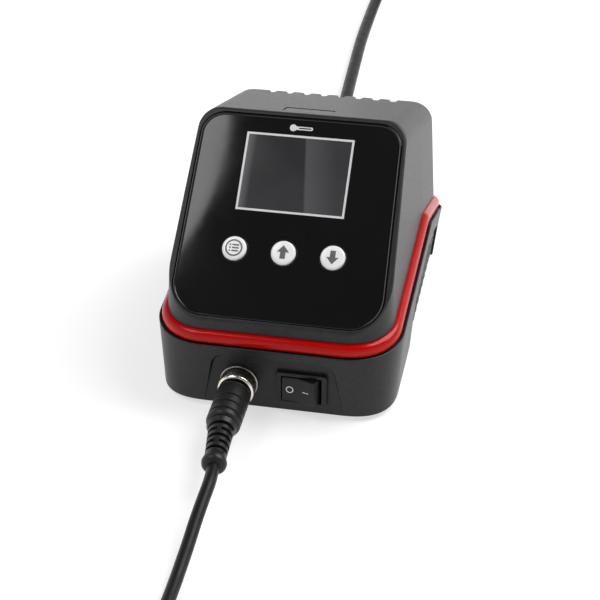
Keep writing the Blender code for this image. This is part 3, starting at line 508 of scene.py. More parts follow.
def lathe(profile, steps=64, hollow=False):
    """Solid of revolution about Z from (radius, z) points."""
    bm = stack([[(x, y, z) for x, y in circle(radius, steps)] for radius, z in profile], hollow)
    bmesh.ops.remove_doubles(bm, verts=bm.verts, dist=0.0005)
    slivers = [face for face in bm.faces if face.calc_area() < 1e-9]
    bmesh.ops.delete(bm, geom=slivers, context="FACES")
    return bm


def frame_bm(outer, inner, low, high):
    """Flat band between two outlines with equally many points."""
    rings = [[(x, y, z) for x, y in line] for line, z in (
        (outer, low), (outer, high), (inner, high), (inner, low))]
    return stack(rings, True)


def cut(item, bm, place=None, operation="DIFFERENCE"):
    tool = add_mesh("tool", bm, place)
    TOOLS.append(tool)
    change = item.modifiers.new("cut", "BOOLEAN")
    change.operation = operation
    change.solver = "EXACT"
    change.object = tool


def soften(item, width, steps=3, angle=40.0):
    change = item.modifiers.new("soften", "BEVEL")
    change.width = width * MM
    change.segments = steps
    change.limit_method = "ANGLE"
    change.angle_limit = math.radians(angle)


def piece(item, name, body, material, replaced=(), sharp=34.0, weighted=True):
    """Applies the modifiers, smooths the faces, and hangs the piece on its body."""
    shown = item.evaluated_get(bpy.context.evaluated_depsgraph_get())
    mesh = bpy.data.meshes.new_from_object(shown)
    item.modifiers.clear()
    item.data = mesh
    item.name = name
    mesh.name = name
    for tool in TOOLS:
        bpy.data.objects.remove(tool, do_unlink=True)
    TOOLS.clear()
    mesh.materials.clear()
    mesh.materials.append(material)
    mesh.shade_smooth()
    mesh.set_sharp_from_angle(angle=math.radians(sharp))
    if weighted:
        normals = item.modifiers.new("normals", "WEIGHTED_NORMAL")
        normals.keep_sharp = True
        normals.weight = 60
    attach(item, body)
    if replaced:
        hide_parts(*replaced)


# ---------------------------------------------------------------- cords

def smooth_route(points, spacing):
    """Evenly spaced points along a smooth curve through the route's own points."""
    knots = [Vector(point) for point in points]
    knots = [knots[0] * 2 - knots[1]] + knots + [knots[-1] * 2 - knots[-2]]
    fine = []
    for a, b, c, d in zip(knots, knots[1:], knots[2:], knots[3:]):
        for k in range(24):
            t = k / 24
            fine.append(0.5 * (2 * b + (c - a) * t + (2 * a - 5 * b + 4 * c - d) * t * t
                               + (3 * b - a - 3 * c + d) * t ** 3))
    fine.append(knots[-2])
    lengths = [0.0]
    for a, b in zip(fine, fine[1:]):
        lengths.append(lengths[-1] + (b - a).length)
    count = max(2, round(lengths[-1] / spacing))
    route = []
    k = 0
    for i in range(count + 1):
        want = lengths[-1] * i / count
        while k < len(fine) - 2 and lengths[k + 1] < want:
            k += 1
        share = (want - lengths[k]) / (lengths[k + 1] - lengths[k])
        route.append(fine[k].lerp(fine[k + 1], min(1.0, share)))
    return route


def ease(share):
    share = min(1.0, max(0.0, share))
    return share * share * (3.0 - 2.0 * share)


def coil(centre, lead_in, outer, pitch, low, way):
    """Two layers: inwards on the bench, then outwards on top; starts at -X, way -1 is clockwise."""
    points = []
    half = (COIL_TURNS - COIL_CLIMB) / 2
    inner = outer - pitch * half
    count = round((COIL_TURNS + lead_in) * 20)
    for k in range(count + 1):
        t = -lead_in + (COIL_TURNS + lead_in) * k / count
        if t < half:
            radius = outer - pitch * max(0.0, t)
            z = low
        elif t < half + COIL_CLIMB:
            share = (t - half) / COIL_CLIMB
            radius = inner - 0.13 * pitch * math.sin(math.pi * share)
            z = low + (pitch - 0.1) * ease(share)
        else:
            radius = inner + pitch * (t - half - COIL_CLIMB)
            z = low + pitch - 0.1
        angle = math.pi + way * math.tau * t
        points.append(Vector((
            centre[0] + radius * math.cos(angle), centre[1] + radius * math.sin(angle), z)))
    return points


def cord(name, points, diameter, node, nodes, slot, **facts):
    curve = bpy.data.curves.new(name, "CURVE")
    curve.dimensions = "3D"
    curve.bevel_depth = diameter / 2 * MM
    curve.bevel_resolution = 7
    curve.resolution_u = 6
    curve.use_fill_caps = True
    spline = curve.splines.new("BEZIER")
    spline.bezier_points.add(len(points) - 1)
    for knot, point in zip(spline.bezier_points, points):
        knot.co = point * MM
        knot.handle_left_type = "AUTO"
        knot.handle_right_type = "AUTO"
    item = bpy.data.objects.new(name, curve)
    bpy.context.scene.collection.objects.link(item)
    curve.materials.append(CABLE)
    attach(item, "root")
    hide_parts(node, *nodes)


def make_mains_cord():
    low = MAINS_DIAMETER / 2 + BENCH_GAP
    lead = smooth_route((
        (GLAND_X, REAR_Y + 31.0, GLAND_Z), (GLAND_X - 0.3, REAR_Y + 48.0, 13.6),
        (GLAND_X - 1.2, REAR_Y + 68.0, 9.6), (GLAND_X - 2.6, REAR_Y + 90.0, 5.2),
        (GLAND_X - 4.2, REAR_Y + 114.0, low), (GLAND_X - 6.6, REAR_Y + 150.0, low),
        (GLAND_X - 9.6, REAR_Y + 195.0, low), (GLAND_X - 12.6, REAR_Y + 245.0, low),
        (GLAND_X - 14.0, REAR_Y + 295.0, low), (GLAND_X - 14.4, REAR_Y + 335.0, low)), 17.0)
    wound = coil(MAINS_COIL, 0.055, MAINS_COIL_RADIUS, 7.3, low, -1)
    x = MAINS_COIL[0] - MAINS_COIL_RADIUS
    tail = [Vector((x, MAINS_COIL[1] + run, z)) for run, z in (
        (9.0, 11.0), (18.0, 10.5), (26.0, 9.0), (33.0, 7.3), (39.5, 7.0))]
    cord("mains_lead", lead + wound + tail, MAINS_DIAMETER, "mains_cord", ["mains_cord_coil"],
         "cord_pvc", far_end="plug", stiffness="medium", lay="coiled",
         with_pieces=["mains_gland_piece", "mains_plug", "mains_plug_boot", "plug_pin_1", "plug_pin_2"])


def make_tool_cord():
    low = TOOL_DIAMETER / 2 + BENCH_GAP
    start, next_on = [
        boot_frame() @ Vector((0.0, 0.0, (BOOT_LENGTH + run) * MM)) / MM for run in (-1.0, 6.0)]
    lead = smooth_route((
        start, next_on, (SOCKET_X + 2.9, FRONT_Y - 77.0, 8.9), (SOCKET_X + 2.5, FRONT_Y - 91.0, 5.3),
        (SOCKET_X + 2.3, FRONT_Y - 109.0, low), (SOCKET_X + 2.3, FRONT_Y - 127.0, low),
        (SOCKET_X + 1.4, FRONT_Y - 144.0, low)), 9.0)
    wound = coil(TOOL_COIL, 0.042, TOOL_COIL_RADIUS, 5.1, low, 1)
    x = TOOL_COIL[0] - TOOL_COIL_RADIUS
    tail = [
        Vector((x + 0.6, TOOL_COIL[1] - 9.0, 8.4)), Vector((x + 2.4, TOOL_COIL[1] - 19.0, 10.4)),
        Vector((x + 4.4, TOOL_COIL[1] - 29.0, 12.1)), Vector((IRON_X, IRON_Y + 1.0, IRON_Z)),
        Vector((IRON_X, IRON_Y - 3.0, IRON_Z))]
    cord("iron_lead", lead + wound + tail, TOOL_DIAMETER, "tool_cord", ["tool_cord_coil"],
         "cord_pvc", far_end="tool", stiffness="limp", lay="coiled",
         with_pieces=["plug_collar_piece", "plug_collar_rim", "plug_core", "plug_body_piece",
                      "plug_boot_piece", "iron_boot", "iron_handle", "iron_grip", "iron_nut",
                      "iron_barrel", "iron_tip"])


# ---------------------------------------------------------------- shape of the box

def rim_height(y):
    rising = RIM_Z + max(0.0, y - RIM_START) * RIM_RISE
    peak = RIM_Z + (RIM_PEAK - RIM_START) * RIM_RISE
    falling = peak - (y - RIM_PEAK) * RIM_FALL
    return (rising + falling - math.hypot(rising - falling, RIM_BLEND)) / 2


def plan():
    """Rim outline seen from above, counter-clockwise: x, y and the inward normal."""
    half = WIDTH / 2
    front = FRONT_Y + FRONT_RADIUS
    rear = REAR_Y - REAR_RADIUS
    corners = (
        (half - FRONT_RADIUS, front, FRONT_RADIUS, -90.0, 24),
        (half - REAR_RADIUS, rear, REAR_RADIUS, 0.0, 18),
        (REAR_RADIUS - half, rear, REAR_RADIUS, 90.0, 18),
        (FRONT_RADIUS - half, front, FRONT_RADIUS, 180.0, 24))
    points = []
    for number, (x, y, radius, start, steps) in enumerate(corners):
        for k in range(steps + 1):
            turn = math.radians(start + 90.0 * k / steps)
            out = Vector((math.cos(turn), math.sin(turn)))
            points.append((x + radius * out.x, y + radius * out.y, -out.x, -out.y))
        if number == 0:
            points += [(half, FRONT_Y + run, -1.0, 0.0) for run in SIDE_BREAKS]
        if number == 2:
            points += [(-half, FRONT_Y + run, 1.0, 0.0) for run in reversed(SIDE_BREAKS)]
    return [(x * (1.0 + (y - FRONT_Y) * FLARE / half), y, nx, ny) for x, y, nx, ny in points]


OUTLINE = plan()


def ring(height, inset):
    """Ring of the plan, moved inwards; height follows a point's place, and inset its height."""
    points = []
    for x, y, nx, ny in OUTLINE:
        step = 0.0
        for _ in range(6):
            z = height(y + ny * step - FRONT_Y)
            step = inset(z)
        points.append((x + nx * step, y + ny * step, z))
    return points


def base_ring(z, extra):
    """Level ring on the tapering wall; lower down it loses its flare and has squarer corners."""
    below = max(0.0, RIM_Z - z)
    share = below / (RIM_Z - UNDERSIDE_Z)
    taper = below * math.tan(BASE_DRAFT)
    points = []
    for (x, y, z), (_, _, nx, ny) in zip(ring(lambda run: z, lambda height: taper + extra), OUTLINE):
        bulge = FOOT_BULGE * share * (2.0 * nx * ny) ** 2 if ny > 0.0 else 0.0
        flare = 1.0 + share * (y - FRONT_Y) * FLARE / (WIDTH / 2)
        points.append(((x - nx * bulge) / flare, y - ny * bulge, z))
    return points


def side_reach(run, z):
    """Half width of the base at a point of its straight side."""
    below = max(0.0, RIM_Z - z)
    flare = 1.0 + below / (RIM_Z - UNDERSIDE_Z) * run * FLARE / (WIDTH / 2)
    return (WIDTH / 2 + run * FLARE - below * math.tan(BASE_DRAFT)) / flare


def side_cutter(outline, depth, side):
    """Cutter that follows the side of the base at a depth below it."""
    inner = [(side * (side_reach(run, z) - depth), FRONT_Y + run, z) for run, z in outline]
    outer = [(side * 60.0, FRONT_Y + run, z) for run, z in outline]
    bm = stack([inner, outer])
    bmesh.ops.triangulate(bm, faces=bm.faces)
    return bm


def rim_ring(lift, inset):
    return ring(lambda run: rim_height(run) + lift, lambda height: inset)


def panel_frame():
    return at(0.0, PANEL_Y, PANEL_Z, PANEL_TILT)


def roof_frame():
    return at(0.0, ROOF_Y, ROOF_Z, -ROOF_TILT)


def front_frame(x=0.0, z=0.0):
    return at(x, FACE_Y, z, 90.0)


def plug_frame():
    """The plug's body hangs a little, pivoting inside the coupling ring."""
    pivot = front_frame(SOCKET_X, SOCKET_Z) @ at(0.0, 0.0, PLUG_PIVOT, PLUG_SAG)
    return pivot @ at(0.0, 0.0, -PLUG_PIVOT)


def boot_frame():
    """The bend relief is bent to one side, with the sag taken out again."""
    return plug_frame() @ at(0.0, 0.0, BOOT_BASE, BOOT_YAW, "Y") @ at(0.0, 0.0, 0.0, -PLUG_SAG)


def gland_frame():
    return at(GLAND_X, REAR_Y, GLAND_Z, -90.0)


def lid_body(wall, panel_wall, start):
    slope = math.tan(math.radians(ROOF_TILT))
    roof_z = ROOF_Z - wall / math.cos(math.radians(ROOF_TILT))
    radius = ROOF_RADIUS - wall
    foot = RIM_Z + TRIM_HEIGHT + GAP
    base_inset = LID_INSET + wall

    def roof(run, drop):
        return roof_z - (run + FRONT_Y - ROOF_Y) * slope - drop

    def inset(z, extra):
        return base_inset + (z - foot) * math.tan(LID_DRAFT) + extra

    rings = [rim_ring(start, base_inset + 2 * WALL), rim_ring(start, base_inset)]
    for k in range(13):
        turn = math.radians(7.5 * k)
        drop = radius * (1.0 - math.sin(turn))
        extra = radius * (1.0 - math.cos(turn))
        rings.append(ring(lambda run: roof(run, drop), lambda z: inset(z, extra)))
    bm = stack(rings)
    tilt = math.radians(PANEL_TILT)
    normal = Vector((0.0, -math.sin(tilt), math.cos(tilt)))
    point = Vector((0.0, PANEL_Y, PANEL_Z)) - normal * panel_wall
    everything = bm.verts[:] + bm.edges[:] + bm.faces[:]
    sliced = bmesh.ops.bisect_plane(
        bm, geom=everything, plane_co=point, plane_no=normal, clear_outer=True)
    edges = [part for part in sliced["geom_cut"] if isinstance(part, bmesh.types.BMEdge)]
    bmesh.ops.edgeloop_fill(bm, edges=edges)
    if wall == 0.0:
        bmesh.ops.bevel(bm, geom=edges, offset=EDGE_RADIUS, segments=4, profile=0.5, affect="EDGES")
    return bm


def glass_outline(grow=0.0):
    low = GLASS_HALF_LOW + grow
    high = GLASS_HALF_HIGH + grow
    return fillet((
        (-low, -grow, 14.0 + grow), (low, -grow, 14.0 + grow),
        (high, GLASS_LENGTH + grow, 10.0 + grow), (-high, GLASS_LENGTH + grow, 10.0 + grow)), 16)


def key_frame(number):
    return panel_frame() @ at((number - 1) * BUTTON_PITCH, BUTTON_S, 0.0)


def posts():
    return [(side * POST_X, FRONT_Y + run) for run in POST_RUNS for side in (-1, 1)]


def front_recess(grow, top):
    spread = RECESS_SPREAD + grow
    return fillet((
        (RECESS_LEFT - spread, -5.0, 0.0), (RECESS_RIGHT + spread, -5.0, 0.0),
        (RECESS_RIGHT + grow, top, 6.5), (RECESS_LEFT - grow, top, 6.5)), 10)


def make_base():
    rings = []
    for k in range(6):
        turn = math.radians(90.0 - 18.0 * k)
        drop = FOOT_ROUND * (1.0 - math.sin(turn))
        rings.append(base_ring(UNDERSIDE_Z + drop, FOOT_ROUND * (1.0 - math.cos(turn))))
    rings += [
        base_ring(12.0, 0.0), base_ring(22.0, 0.0),
        rim_ring(-0.45, 0.0), rim_ring(-0.14, 0.1), rim_ring(0.0, 0.35), rim_ring(0.0, 0.5),
        rim_ring(-1.6, 0.55), rim_ring(-1.6, 2.2), rim_ring(0.0, 2.25),
        rim_ring(0.0, LEDGE), rim_ring(-3.0, LEDGE),
        rim_ring(-5.5, BASE_WALL), base_ring(FLOOR_Z, BASE_WALL)]
    base = add_mesh("base", stack(rings))
    sunk = [(x, y, 0.0) for x, y in front_recess(0.0, RECESS_TOP)]
    level = [(x, y, 1.6) for x, y in front_recess(0.8, RECESS_TOP + 0.8)]
    proud = [(x, y, 12.0) for x, y in front_recess(0.8, RECESS_TOP + 0.8)]
    cut(base, stack([sunk, level, proud]), front_frame())
    cut(base, cube((SWITCH_X - 9.8, FRONT_Y - 5.0, SWITCH_Z - 6.8),
                   (SWITCH_X + 9.8, FRONT_Y + 12.0, SWITCH_Z + 6.8)))
    cut(base, rod(6.4, -12.0, 6.0), front_frame(SOCKET_X, SOCKET_Z))
    cut(base, rod(5.4, -6.0, 6.0), gland_frame())
    edge = fillet(SIDE_PANEL, 6)
    for side in (-1, 1):
        cut(base, side_cutter(edge, SIDE_PANEL_DEPTH, side))
        for number in range(SIDE_VENTS):
            run = 70.0 + SIDE_VENT_PITCH * number
            top = 23.5 if number < SIDE_VENTS - 2 else 17.5
            groove = fillet((
                (run - 2.0, -3.0, 0.0), (run + 2.0, -3.0, 0.0), (run + 2.0, top, 1.9),
                (run - 2.0, top, 1.9)))
            cut(base, side_cutter(groove, SIDE_PANEL_DEPTH + 0.8, side))
            y = FRONT_Y + run
            inner, outer = sorted((side * 40.0, side * 60.0))
            cut(base, cube((inner, y - 1.1, 7.5), (outer, y + 1.1, top - 3.0), 0.7))
    for x, y in posts():
        cut(base, rod(1.8, 0.0, 12.0, 24), at(x, y, 0.0))
    for side in (-1, 1):
        x = TRANSFORMER_X + side * TRANSFORMER_SCREW
        cut(base, rod(1.5, 0.0, 12.0, 24), at(x, FRONT_Y + TRANSFORMER_RUN, 0.0))
    piece(base, "case_base", "root", CASE, ["lower_shell"], 30.0)


def make_band():
    rings = [rim_ring(GAP, 1.45), rim_ring(0.9, 1.3), rim_ring(TRIM_FACE, TRIM_INSET)]
    for k in range(1, 9):
        turn = math.radians(90.0 * k / 8)
        lift = TRIM_FACE + (TRIM_HEIGHT - TRIM_FACE) * math.sin(turn)
        inset = TRIM_INSET + (TRIM_REACH - TRIM_INSET) * (1.0 - math.cos(turn))
        rings.append(rim_ring(lift, inset))
    rings += [rim_ring(TRIM_HEIGHT, LEDGE), rim_ring(GAP, LEDGE)]
    band = add_mesh("band", stack(rings, closed=True))
    piece(band, "red_band", "root", TRIM, ["trim_ring"], 40.0, False)


def make_lid():
    foot = TRIM_HEIGHT + GAP
    lid = add_mesh("lid", lid_body(0.0, 0.0, foot))
    cut(lid, lid_body(WALL, PANEL_WALL, foot - 6.0))
    for x, y in posts():
        cut(lid, rod(5.0, FLOOR_Z + GAP, 50.0, 24), at(x, y, 0.0), "UNION")
    for side in (-1, 1):
        place = panel_frame() @ at(side * CARRIER_X, DISPLAY_S, 0.0)
        cut(lid, rod(3.0, -11.3, -3.0, 20), place, "UNION")
        cut(lid, rod(1.3, -12.6, -5.5, 16), place)
    for x, y in posts():
        cut(lid, rod(1.8, 0.0, 19.0, 20), at(x, y, 0.0))
    cut(lid, prism(glass_outline(GAP), -PANEL_RECESS, 6.0), panel_frame())
    cut(lid, cube((-MODULE[0], DISPLAY_S - MODULE[1], -8.0), (MODULE[0], DISPLAY_S + MODULE[1], 2.0)),
        panel_frame())
    for number in range(3):
        cut(lid, rod(BUTTON_RADIUS + 0.45, -8.0, 3.0), key_frame(number))
    slot = fillet(((-10.7, 9.3, 1.5), (10.7, 9.3, 1.5), (10.7, 19.3, 1.5), (-10.7, 19.3, 1.5)), 6)
    cut(lid, prism(slot, -6.0, 4.0), roof_frame())
    for number in range(VENTS):
        x = (number - (VENTS - 1) / 2) * VENT_PITCH
        place = at(x, FRONT_Y + 140.5, 79.9, -30.0)
        cut(lid, cube((-2.0, -9.0, -1.1), (2.0, 16.0, 12.0), 0.9), place)
        cut(lid, cube((x - 1.3, REAR_Y - 12.0, 46.0), (x + 1.3, REAR_Y, 69.0), 0.6))
    piece(lid, "case_lid", "root", CASE_TOP, ["upper_shell"], 30.0)


# ---------------------------------------------------------------- control panel

def make_panel():
    panel = add_mesh("panel", prism(glass_outline(-1.15), -0.3 - GLASS_THICKNESS, -0.42), panel_frame())
    for number in range(3):
        cut(panel, rod(BUTTON_RADIUS + 0.3, -4.0, 3.0), key_frame(number))
    soften(panel, 0.12, 2)
    piece(panel, "panel_glass", "root", GLASS, ["front_panel"], 45.0)
    section = (
        (-1.15, -1.5), (0.0, -1.5), (0.0, -0.55), (-0.06, -0.3), (-0.25, -0.12), (-0.5, -0.06),
        (-0.75, -0.1), (-0.95, -0.25), (-1.1, -0.5))
    rings = [[(x, y, z) for x, y in glass_outline(grow)] for grow, z in section]
    bead = add_mesh("bead", stack(rings, True), panel_frame())
    piece(bead, "panel_bead", "root", GLASS, ["front_panel"], 50.0, False)

    wide, tall = WINDOW
    place = panel_frame() @ at(0.0, DISPLAY_S, 0.0)
    plate = cube((-wide + PRINT_LINE, -tall + PRINT_LINE, PRINT_LOW),
                 (wide - PRINT_LINE, tall - PRINT_LINE, PRINT_HIGH - 0.01))
    window = add_mesh("window", plate, place)
    piece(window, "display_window", "root", WINDOW_TINT_AND_REFLECTION, weighted=False)
    outer = [(-wide, -tall), (wide, -tall), (wide, tall), (-wide, tall)]
    inner = [(x * (wide - PRINT_LINE) / wide, y * (tall - PRINT_LINE) / tall) for x, y in outer]
    line = add_mesh("line", frame_bm(outer, inner, PRINT_LOW, PRINT_HIGH), place)
    piece(line, "display_border", "root", PRINT_GREY, weighted=False)
    make_heat_mark()


def make_heat_mark():
    """Plain thermometer pictogram, lying above the display."""
    place = panel_frame() @ at(0.0, DISPLAY_S + WINDOW[1] + 3.2, 0.0)
    tube = fillet(((-2.6, -0.75, 0.7), (4.6, -0.75, 0.7), (4.6, 0.75, 0.7), (-2.6, 0.75, 0.7)), 6)
    mark = add_mesh("mark", prism(tube, PRINT_LOW, PRINT_HIGH), place)
    cut(mark, rod(1.5, PRINT_LOW, PRINT_HIGH, 32), place @ at(-3.6, 0.0, 0.0), "UNION")
    cut(mark, cube((-1.2, -0.28, -1.0), (3.9, 0.28, 0.0)), place)
    piece(mark, "panel_mark", "root", PRINT_GREY, weighted=False)


def make_buttons():
    low, high = 0.40, 0.66
    ring_outer, ring_inner = circle(3.55, 48), circle(2.95, 48)
    arrow = ((-1.1, -2.7), (1.1, -2.7), (1.1, 0.1), (2.5, 0.1), (0.0, 3.0), (-2.5, 0.1), (-1.1, 0.1))
    for number, name in enumerate(("menu", "up", "down")):
        body = "button_" + name
        profile = (
            (0.0, 0.62), (2.8, 0.60), (4.2, 0.54), (4.65, 0.40), (4.9, 0.12), (5.05, -0.2),
            (CAP_RADIUS, -0.6), (CAP_RADIUS, -4.1), (6.5, -4.1), (6.5, -5.2), (1.7, -5.2), (1.7, -6.8),
            (0.0, -6.8))
        cap = add_mesh("cap", lathe(profile), key_frame(number))
        piece(cap, "key_" + name, body, KEY, [body], 40.0)
        if name == "menu":
            mark = add_mesh("mark", frame_bm(ring_outer, ring_inner, low, high), key_frame(number))
            piece(mark, "key_menu_ring", body, KEY_PRINT, weighted=False)
            for row in range(3):
                y = 1.25 * (1 - row)
                bar = add_mesh("bar", cube((-0.75, y - 0.3, low), (2.0, y + 0.3, high)), key_frame(number))
                piece(bar, "key_menu_bar_%d" % (row + 1), body, KEY_PRINT, weighted=False)
                dot = add_mesh("dot", rod(0.36, low, high, 16), key_frame(number) @ at(-1.6, y, 0.0))
                piece(dot, "key_menu_dot_%d" % (row + 1), body, KEY_PRINT, weighted=False)
        else:
            side = 1.0 if name == "up" else -1.0
            outline = [(x * side, y * side) for x, y in arrow]
            mark = add_mesh("mark", prism(outline, low, high), key_frame(number))
            piece(mark, "key_%s_arrow" % name, body, KEY_PRINT, weighted=False)


def make_status_lens():
    outline = fillet(((-10.4, 9.6, 1.2), (10.4, 9.6, 1.2), (10.4, 19.0, 1.2), (-10.4, 19.0, 1.2)), 6)
    lens = add_mesh("lens", prism(outline, -2.6, -0.2), roof_frame())
    soften(lens, 0.3, 2)
    piece(lens, "status_window", "root", LENS, ["status_lens"], 45.0)


# ---------------------------------------------------------------- switch, socket and plug

def make_switch():
    wide, tall = 10.5, 7.5
    open_x, open_z = 8.25, 5.9
    place = front_frame(SWITCH_X, SWITCH_Z)
    block = cube((-wide + 1.0, -tall + 1.0, -14.0), (wide - 1.0, tall - 1.0, 1.0))
    housing = add_mesh("housing", block, place)
    rim = fillet(((-wide, -tall, 1.2), (wide, -tall, 1.2), (wide, tall, 1.2), (-wide, tall, 1.2)), 6)
    cut(housing, prism(rim, GAP, 1.8), place, "UNION")
    cut(housing, cube((-open_x, -open_z, -2.0), (open_x, open_z, 4.0)), place)
    cut(housing, cube((-8.9, -open_z, -10.5), (8.9, open_z, -0.2)), place)
    soften(housing, 0.35, 3)
    piece(housing, "switch_bezel", "root", SWITCH, ["power_switch_housing"], 45.0)

    pivot = place @ at(0.0, 0.0, 1.8 - ROCKER_DEPTH) @ at(0.0, 0.0, 0.0, -ROCKER_SWING / 2, "Y")
    outline = ((6.7, 6.7), (0.0, 5.7), (-6.7, 6.7), (-8.15, 2.6), (-6.2, 0.4), (6.2, 0.4), (8.15, 2.6))
    half = open_z - 0.35
    shape = prism(outline, -half, half)
    bmesh.ops.rotate(shape, cent=(0.0, 0.0, 0.0), matrix=Matrix.Rotation(math.radians(90.0), 3, "X"),
                     verts=shape.verts)
    rocker = add_mesh("rocker", shape, pivot)
    soften(rocker, 0.3, 3, 25.0)
    piece(rocker, "switch_rocker", "rocker", SWITCH, ["power_switch_rocker"], 40.0)

    lean = math.degrees(math.atan2(1.0, 6.7))
    off_side = pivot @ at(-3.5, 0.0, 5.7 + 3.5 / 6.7, lean, "Y")
    on_side = pivot @ at(3.3, 0.0, 5.7 + 3.3 / 6.7, -lean, "Y")
    mark = add_mesh("mark", frame_bm(circle(1.55, 40), circle(1.2, 40), -0.1, 0.04), off_side)
    piece(mark, "switch_mark_off", "rocker", SWITCH_PRINT, weighted=False)
    mark = add_mesh("mark", cube((-1.35, -0.14, -0.1), (1.35, 0.14, 0.04)), on_side)
    piece(mark, "switch_mark_on", "rocker", SWITCH_PRINT, weighted=False)


def make_socket():
    place = front_frame(SOCKET_X, SOCKET_Z)
    reach = SOCKET_REACH + FACE_Y - FRONT_Y
    shell = add_mesh("shell", lathe((
        (5.8, reach), (6.0, reach - 0.2), (6.0, 1.5), (7.5, 1.5), (7.9, 1.15), (7.9, GAP), (6.0, GAP),
        (6.0, -9.0), (4.9, -9.0), (4.9, reach)), 64, True), place)
    piece(shell, "socket_barrel", "root", DARK_NICKEL, ["socket_shell"], 30.0)


def cut_slots(item, place, odd, z, web, width):
    """Two opposite slots across a bend relief; odd ones lie a quarter turn on."""
    for side in (-1, 1):
        near, far = sorted((side * web, side * 9.0))
        if odd:
            slot = cube((near, -9.0, z), (far, 9.0, z + width))
        else:
            slot = cube((-9.0, near, z), (9.0, far, z + width))
        cut(item, slot, place)


def make_plug():
    place = front_frame(SOCKET_X, SOCKET_Z)
    low, high = COLLAR_LOW, COLLAR_HIGH
    collar = add_mesh("collar", lathe((
        (6.6, high - 0.9), (7.3, high - 0.95), (7.5, high - 1.15), (7.5, low + 0.7), (7.1, low + 0.15),
        (6.35, low), (6.35, high - 1.5), (5.6, high - 1.5), (5.6, high - 0.9)), 96, True), place)
    piece(collar, "plug_collar_piece", "plug_collar", KNURL, ["plug_collar"], 40.0, False)
    rim = add_mesh("rim", lathe((
        (6.6, high), (6.95, high - 0.04), (7.3, high - 0.4), (7.5, high - 0.85), (7.4, high - 1.0),
        (5.8, high - 0.95), (5.8, high - 0.5)), 96, True), place)
    piece(rim, "plug_collar_rim", "plug_collar", BRIGHT_NICKEL, (), 40.0, False)

    wide = PLUG_RADIUS
    profile = [(0.0, 29.5), (5.2, 29.5), (5.6, 29.75), (6.0, 29.6), (6.85, 28.5), (wide, 28.0)]
    for z in PLUG_GROOVES:
        profile += [(wide, z), (6.4, z - 0.15), (6.4, z - 1.1), (wide, z - 1.3)]
    profile += [(wide, 10.2), (6.75, 9.5), (6.1, 9.0), (5.0, 8.8), (5.0, 6.3), (0.0, 6.3)]
    body = add_mesh("body", lathe(profile, 72), plug_frame())
    piece(body, "plug_body_piece", "root", MOULDED, ["plug_body"], 40.0, False)

    end = BOOT_LENGTH
    boot = add_mesh("boot", lathe((
        (0.0, end), (2.9, end), (4.0, end - 0.5), (4.75, end - 1.6), (4.95, end - 2.9), (4.6, end - 4.2),
        (4.25, end - 4.9), (4.3, end - 8.0), (5.1, 3.2), (5.9, 1.2), (6.05, 0.75), (2.0, 0.0), (0.0, 0.0)),
        64), boot_frame())
    span = end - 8.0
    for number in range(5):
        cut_slots(boot, boot_frame(), number % 2, 2.8 + span * number / 5, 0.75, 1.7)
    cut(boot, rod(2.9, 0.5, end - 0.5, 40), boot_frame(), "UNION")
    piece(boot, "plug_boot_piece", "root", MOULDED, ["plug_boot"], 40.0, False)


def make_gland():
    place = gland_frame()
    gland = add_mesh("gland", lathe((
        (0.0, 32.6), (4.1, 32.6), (4.7, 32.0), (4.8, 29.0), (6.0, 6.0), (6.4, 5.0), (7.4, 4.7), (8.2, 4.0),
        (8.2, 0.6), (7.9, 0.3), (5.0, 0.3), (5.0, -5.0), (0.0, -5.0)), 64), place)
    for number in range(6):
        cut_slots(gland, place, number % 2, 8.2 + 3.6 * number, 0.9, 1.5)
    cut(gland, rod(3.9, 5.0, 32.0, 40), place, "UNION")
    piece(gland, "mains_gland_piece", "root", MOULDED, ["mains_gland"], 40.0, False)


# ---------------------------------------------------------------- pieces kept from the CAD

def paint(material, *nodes):
    for name in nodes:
        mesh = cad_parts[name].data
        mesh.materials.clear()
        mesh.materials.append(material)


def paint_kept_nodes():
    paint(RUBBER, "foot_1", "foot_2", "foot_3", "foot_4")
    paint(STEEL, "case_screw_1", "case_screw_2", "case_screw_3", "case_screw_4", "board_screw_1",
          "board_screw_2", "transformer_screw_1", "transformer_screw_2", "iron_barrel")
    paint(DARK_NICKEL, "socket_nut", "iron_nut")
    paint(BRIGHT_NICKEL, "plug_pin_1", "plug_pin_2")
    paint(CHIP, "main_chip", "key_switch_menu", "key_switch_up", "key_switch_down", "socket_core",
          "plug_core", "board_carrier")
    paint(BOARD, "control_board", "power_board")
    paint(DISPLAY_GLASS, "display_module")
    paint(LED, "status_led")
    paint(LAMINATION, "transformer_core")
    paint(TAPE, "transformer_winding")
    paint(SLEEVE, "capacitor")
    paint(ALUMINIUM, "heat_sink")
    paint(CERAMIC, "fuse")
    paint(TERMINAL, "terminal_block")
    paint(MOULDED, "mains_plug", "mains_plug_boot", "iron_boot")
    paint(CASE, "iron_handle")
    paint(GRIP, "iron_grip")
    paint(TIP, "iron_tip")


# ---------------------------------------------------------------- studio

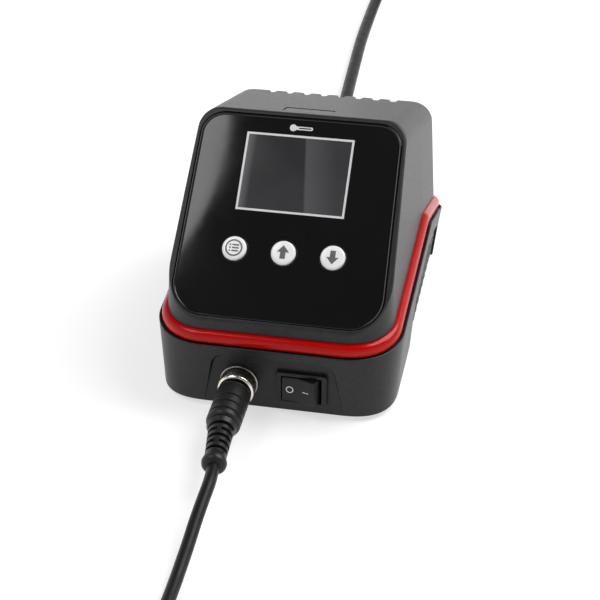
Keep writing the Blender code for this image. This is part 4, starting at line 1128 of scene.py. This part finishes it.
def add_light(name, size, power, place, target, shape="RECTANGLE"):
    lamp = bpy.data.lights.new(name, "AREA")
    lamp.shape = shape
    lamp.size = size * MM
    lamp.size_y = size * MM
    lamp.energy = power
    item = bpy.data.objects.new(name, lamp)
    bpy.context.scene.collection.objects.link(item)
    spot = Vector(place) * MM
    item.location = spot
    item.rotation_mode = "QUATERNION"
    item.rotation_quaternion = (Vector(target) * MM - spot).to_track_quat("-Z", "Y")


def make_studio():
    bm = bmesh.new()
    bmesh.ops.create_grid(bm, x_segments=8, y_segments=8, size=30000.0)
    floor = add_mesh("floor", bm)
    floor.data.materials.append(FLOOR)
    floor.location.z = -0.2 * MM

    world = bpy.data.worlds.new("studio")
    bpy.context.scene.world = world
    world.use_nodes = True
    tree = world.node_tree
    sky = tree.nodes["Background"]
    coords = tree.nodes.new("ShaderNodeTexCoord").outputs["Generated"]
    parts = tree.nodes.new("ShaderNodeSeparateXYZ")
    wire(tree, coords, parts.inputs["Vector"])
    ramp = tree.nodes.new("ShaderNodeValToRGB")
    ramp.color_ramp.elements[0].position = 0.15
    ramp.color_ramp.elements[0].color = (1.0, 1.0, 1.0, 1.0)
    ramp.color_ramp.elements[1].position = 0.70
    ramp.color_ramp.elements[1].color = (0.10, 0.10, 0.105, 1.0)
    wire(tree, parts.outputs["Z"], ramp.inputs["Fac"])
    wire(tree, ramp.outputs["Color"], sky.inputs["Color"])
    rear_gain, left_gain = 0.22, 0.20
    lean = combine(tree, "SUBTRACT", combine(tree, "MULTIPLY", parts.outputs["Y"], rear_gain),
                   combine(tree, "MULTIPLY", parts.outputs["X"], left_gain))
    wire(tree, combine(tree, "ADD", lean, 1.0), sky.inputs["Strength"])

    add_light("key_light", 1300.0, 36.0, (1000.0, 550.0, 1500.0), (0.0, 0.0, 30.0))
    add_light("side_disc", 956.0, 10.0, (-853.0, -530.0, 1500.0), (-853.0, -529.0, 0.0), "DISK")
    bpy.context.scene.view_settings.view_transform = "Standard"


make_gland()
make_plug()
make_mains_cord()
make_tool_cord()
make_base()
make_band()
make_lid()
make_panel()
make_buttons()
make_status_lens()
make_switch()
make_socket()
paint_kept_nodes()
make_studio()

bpy.context.view_layer.update()
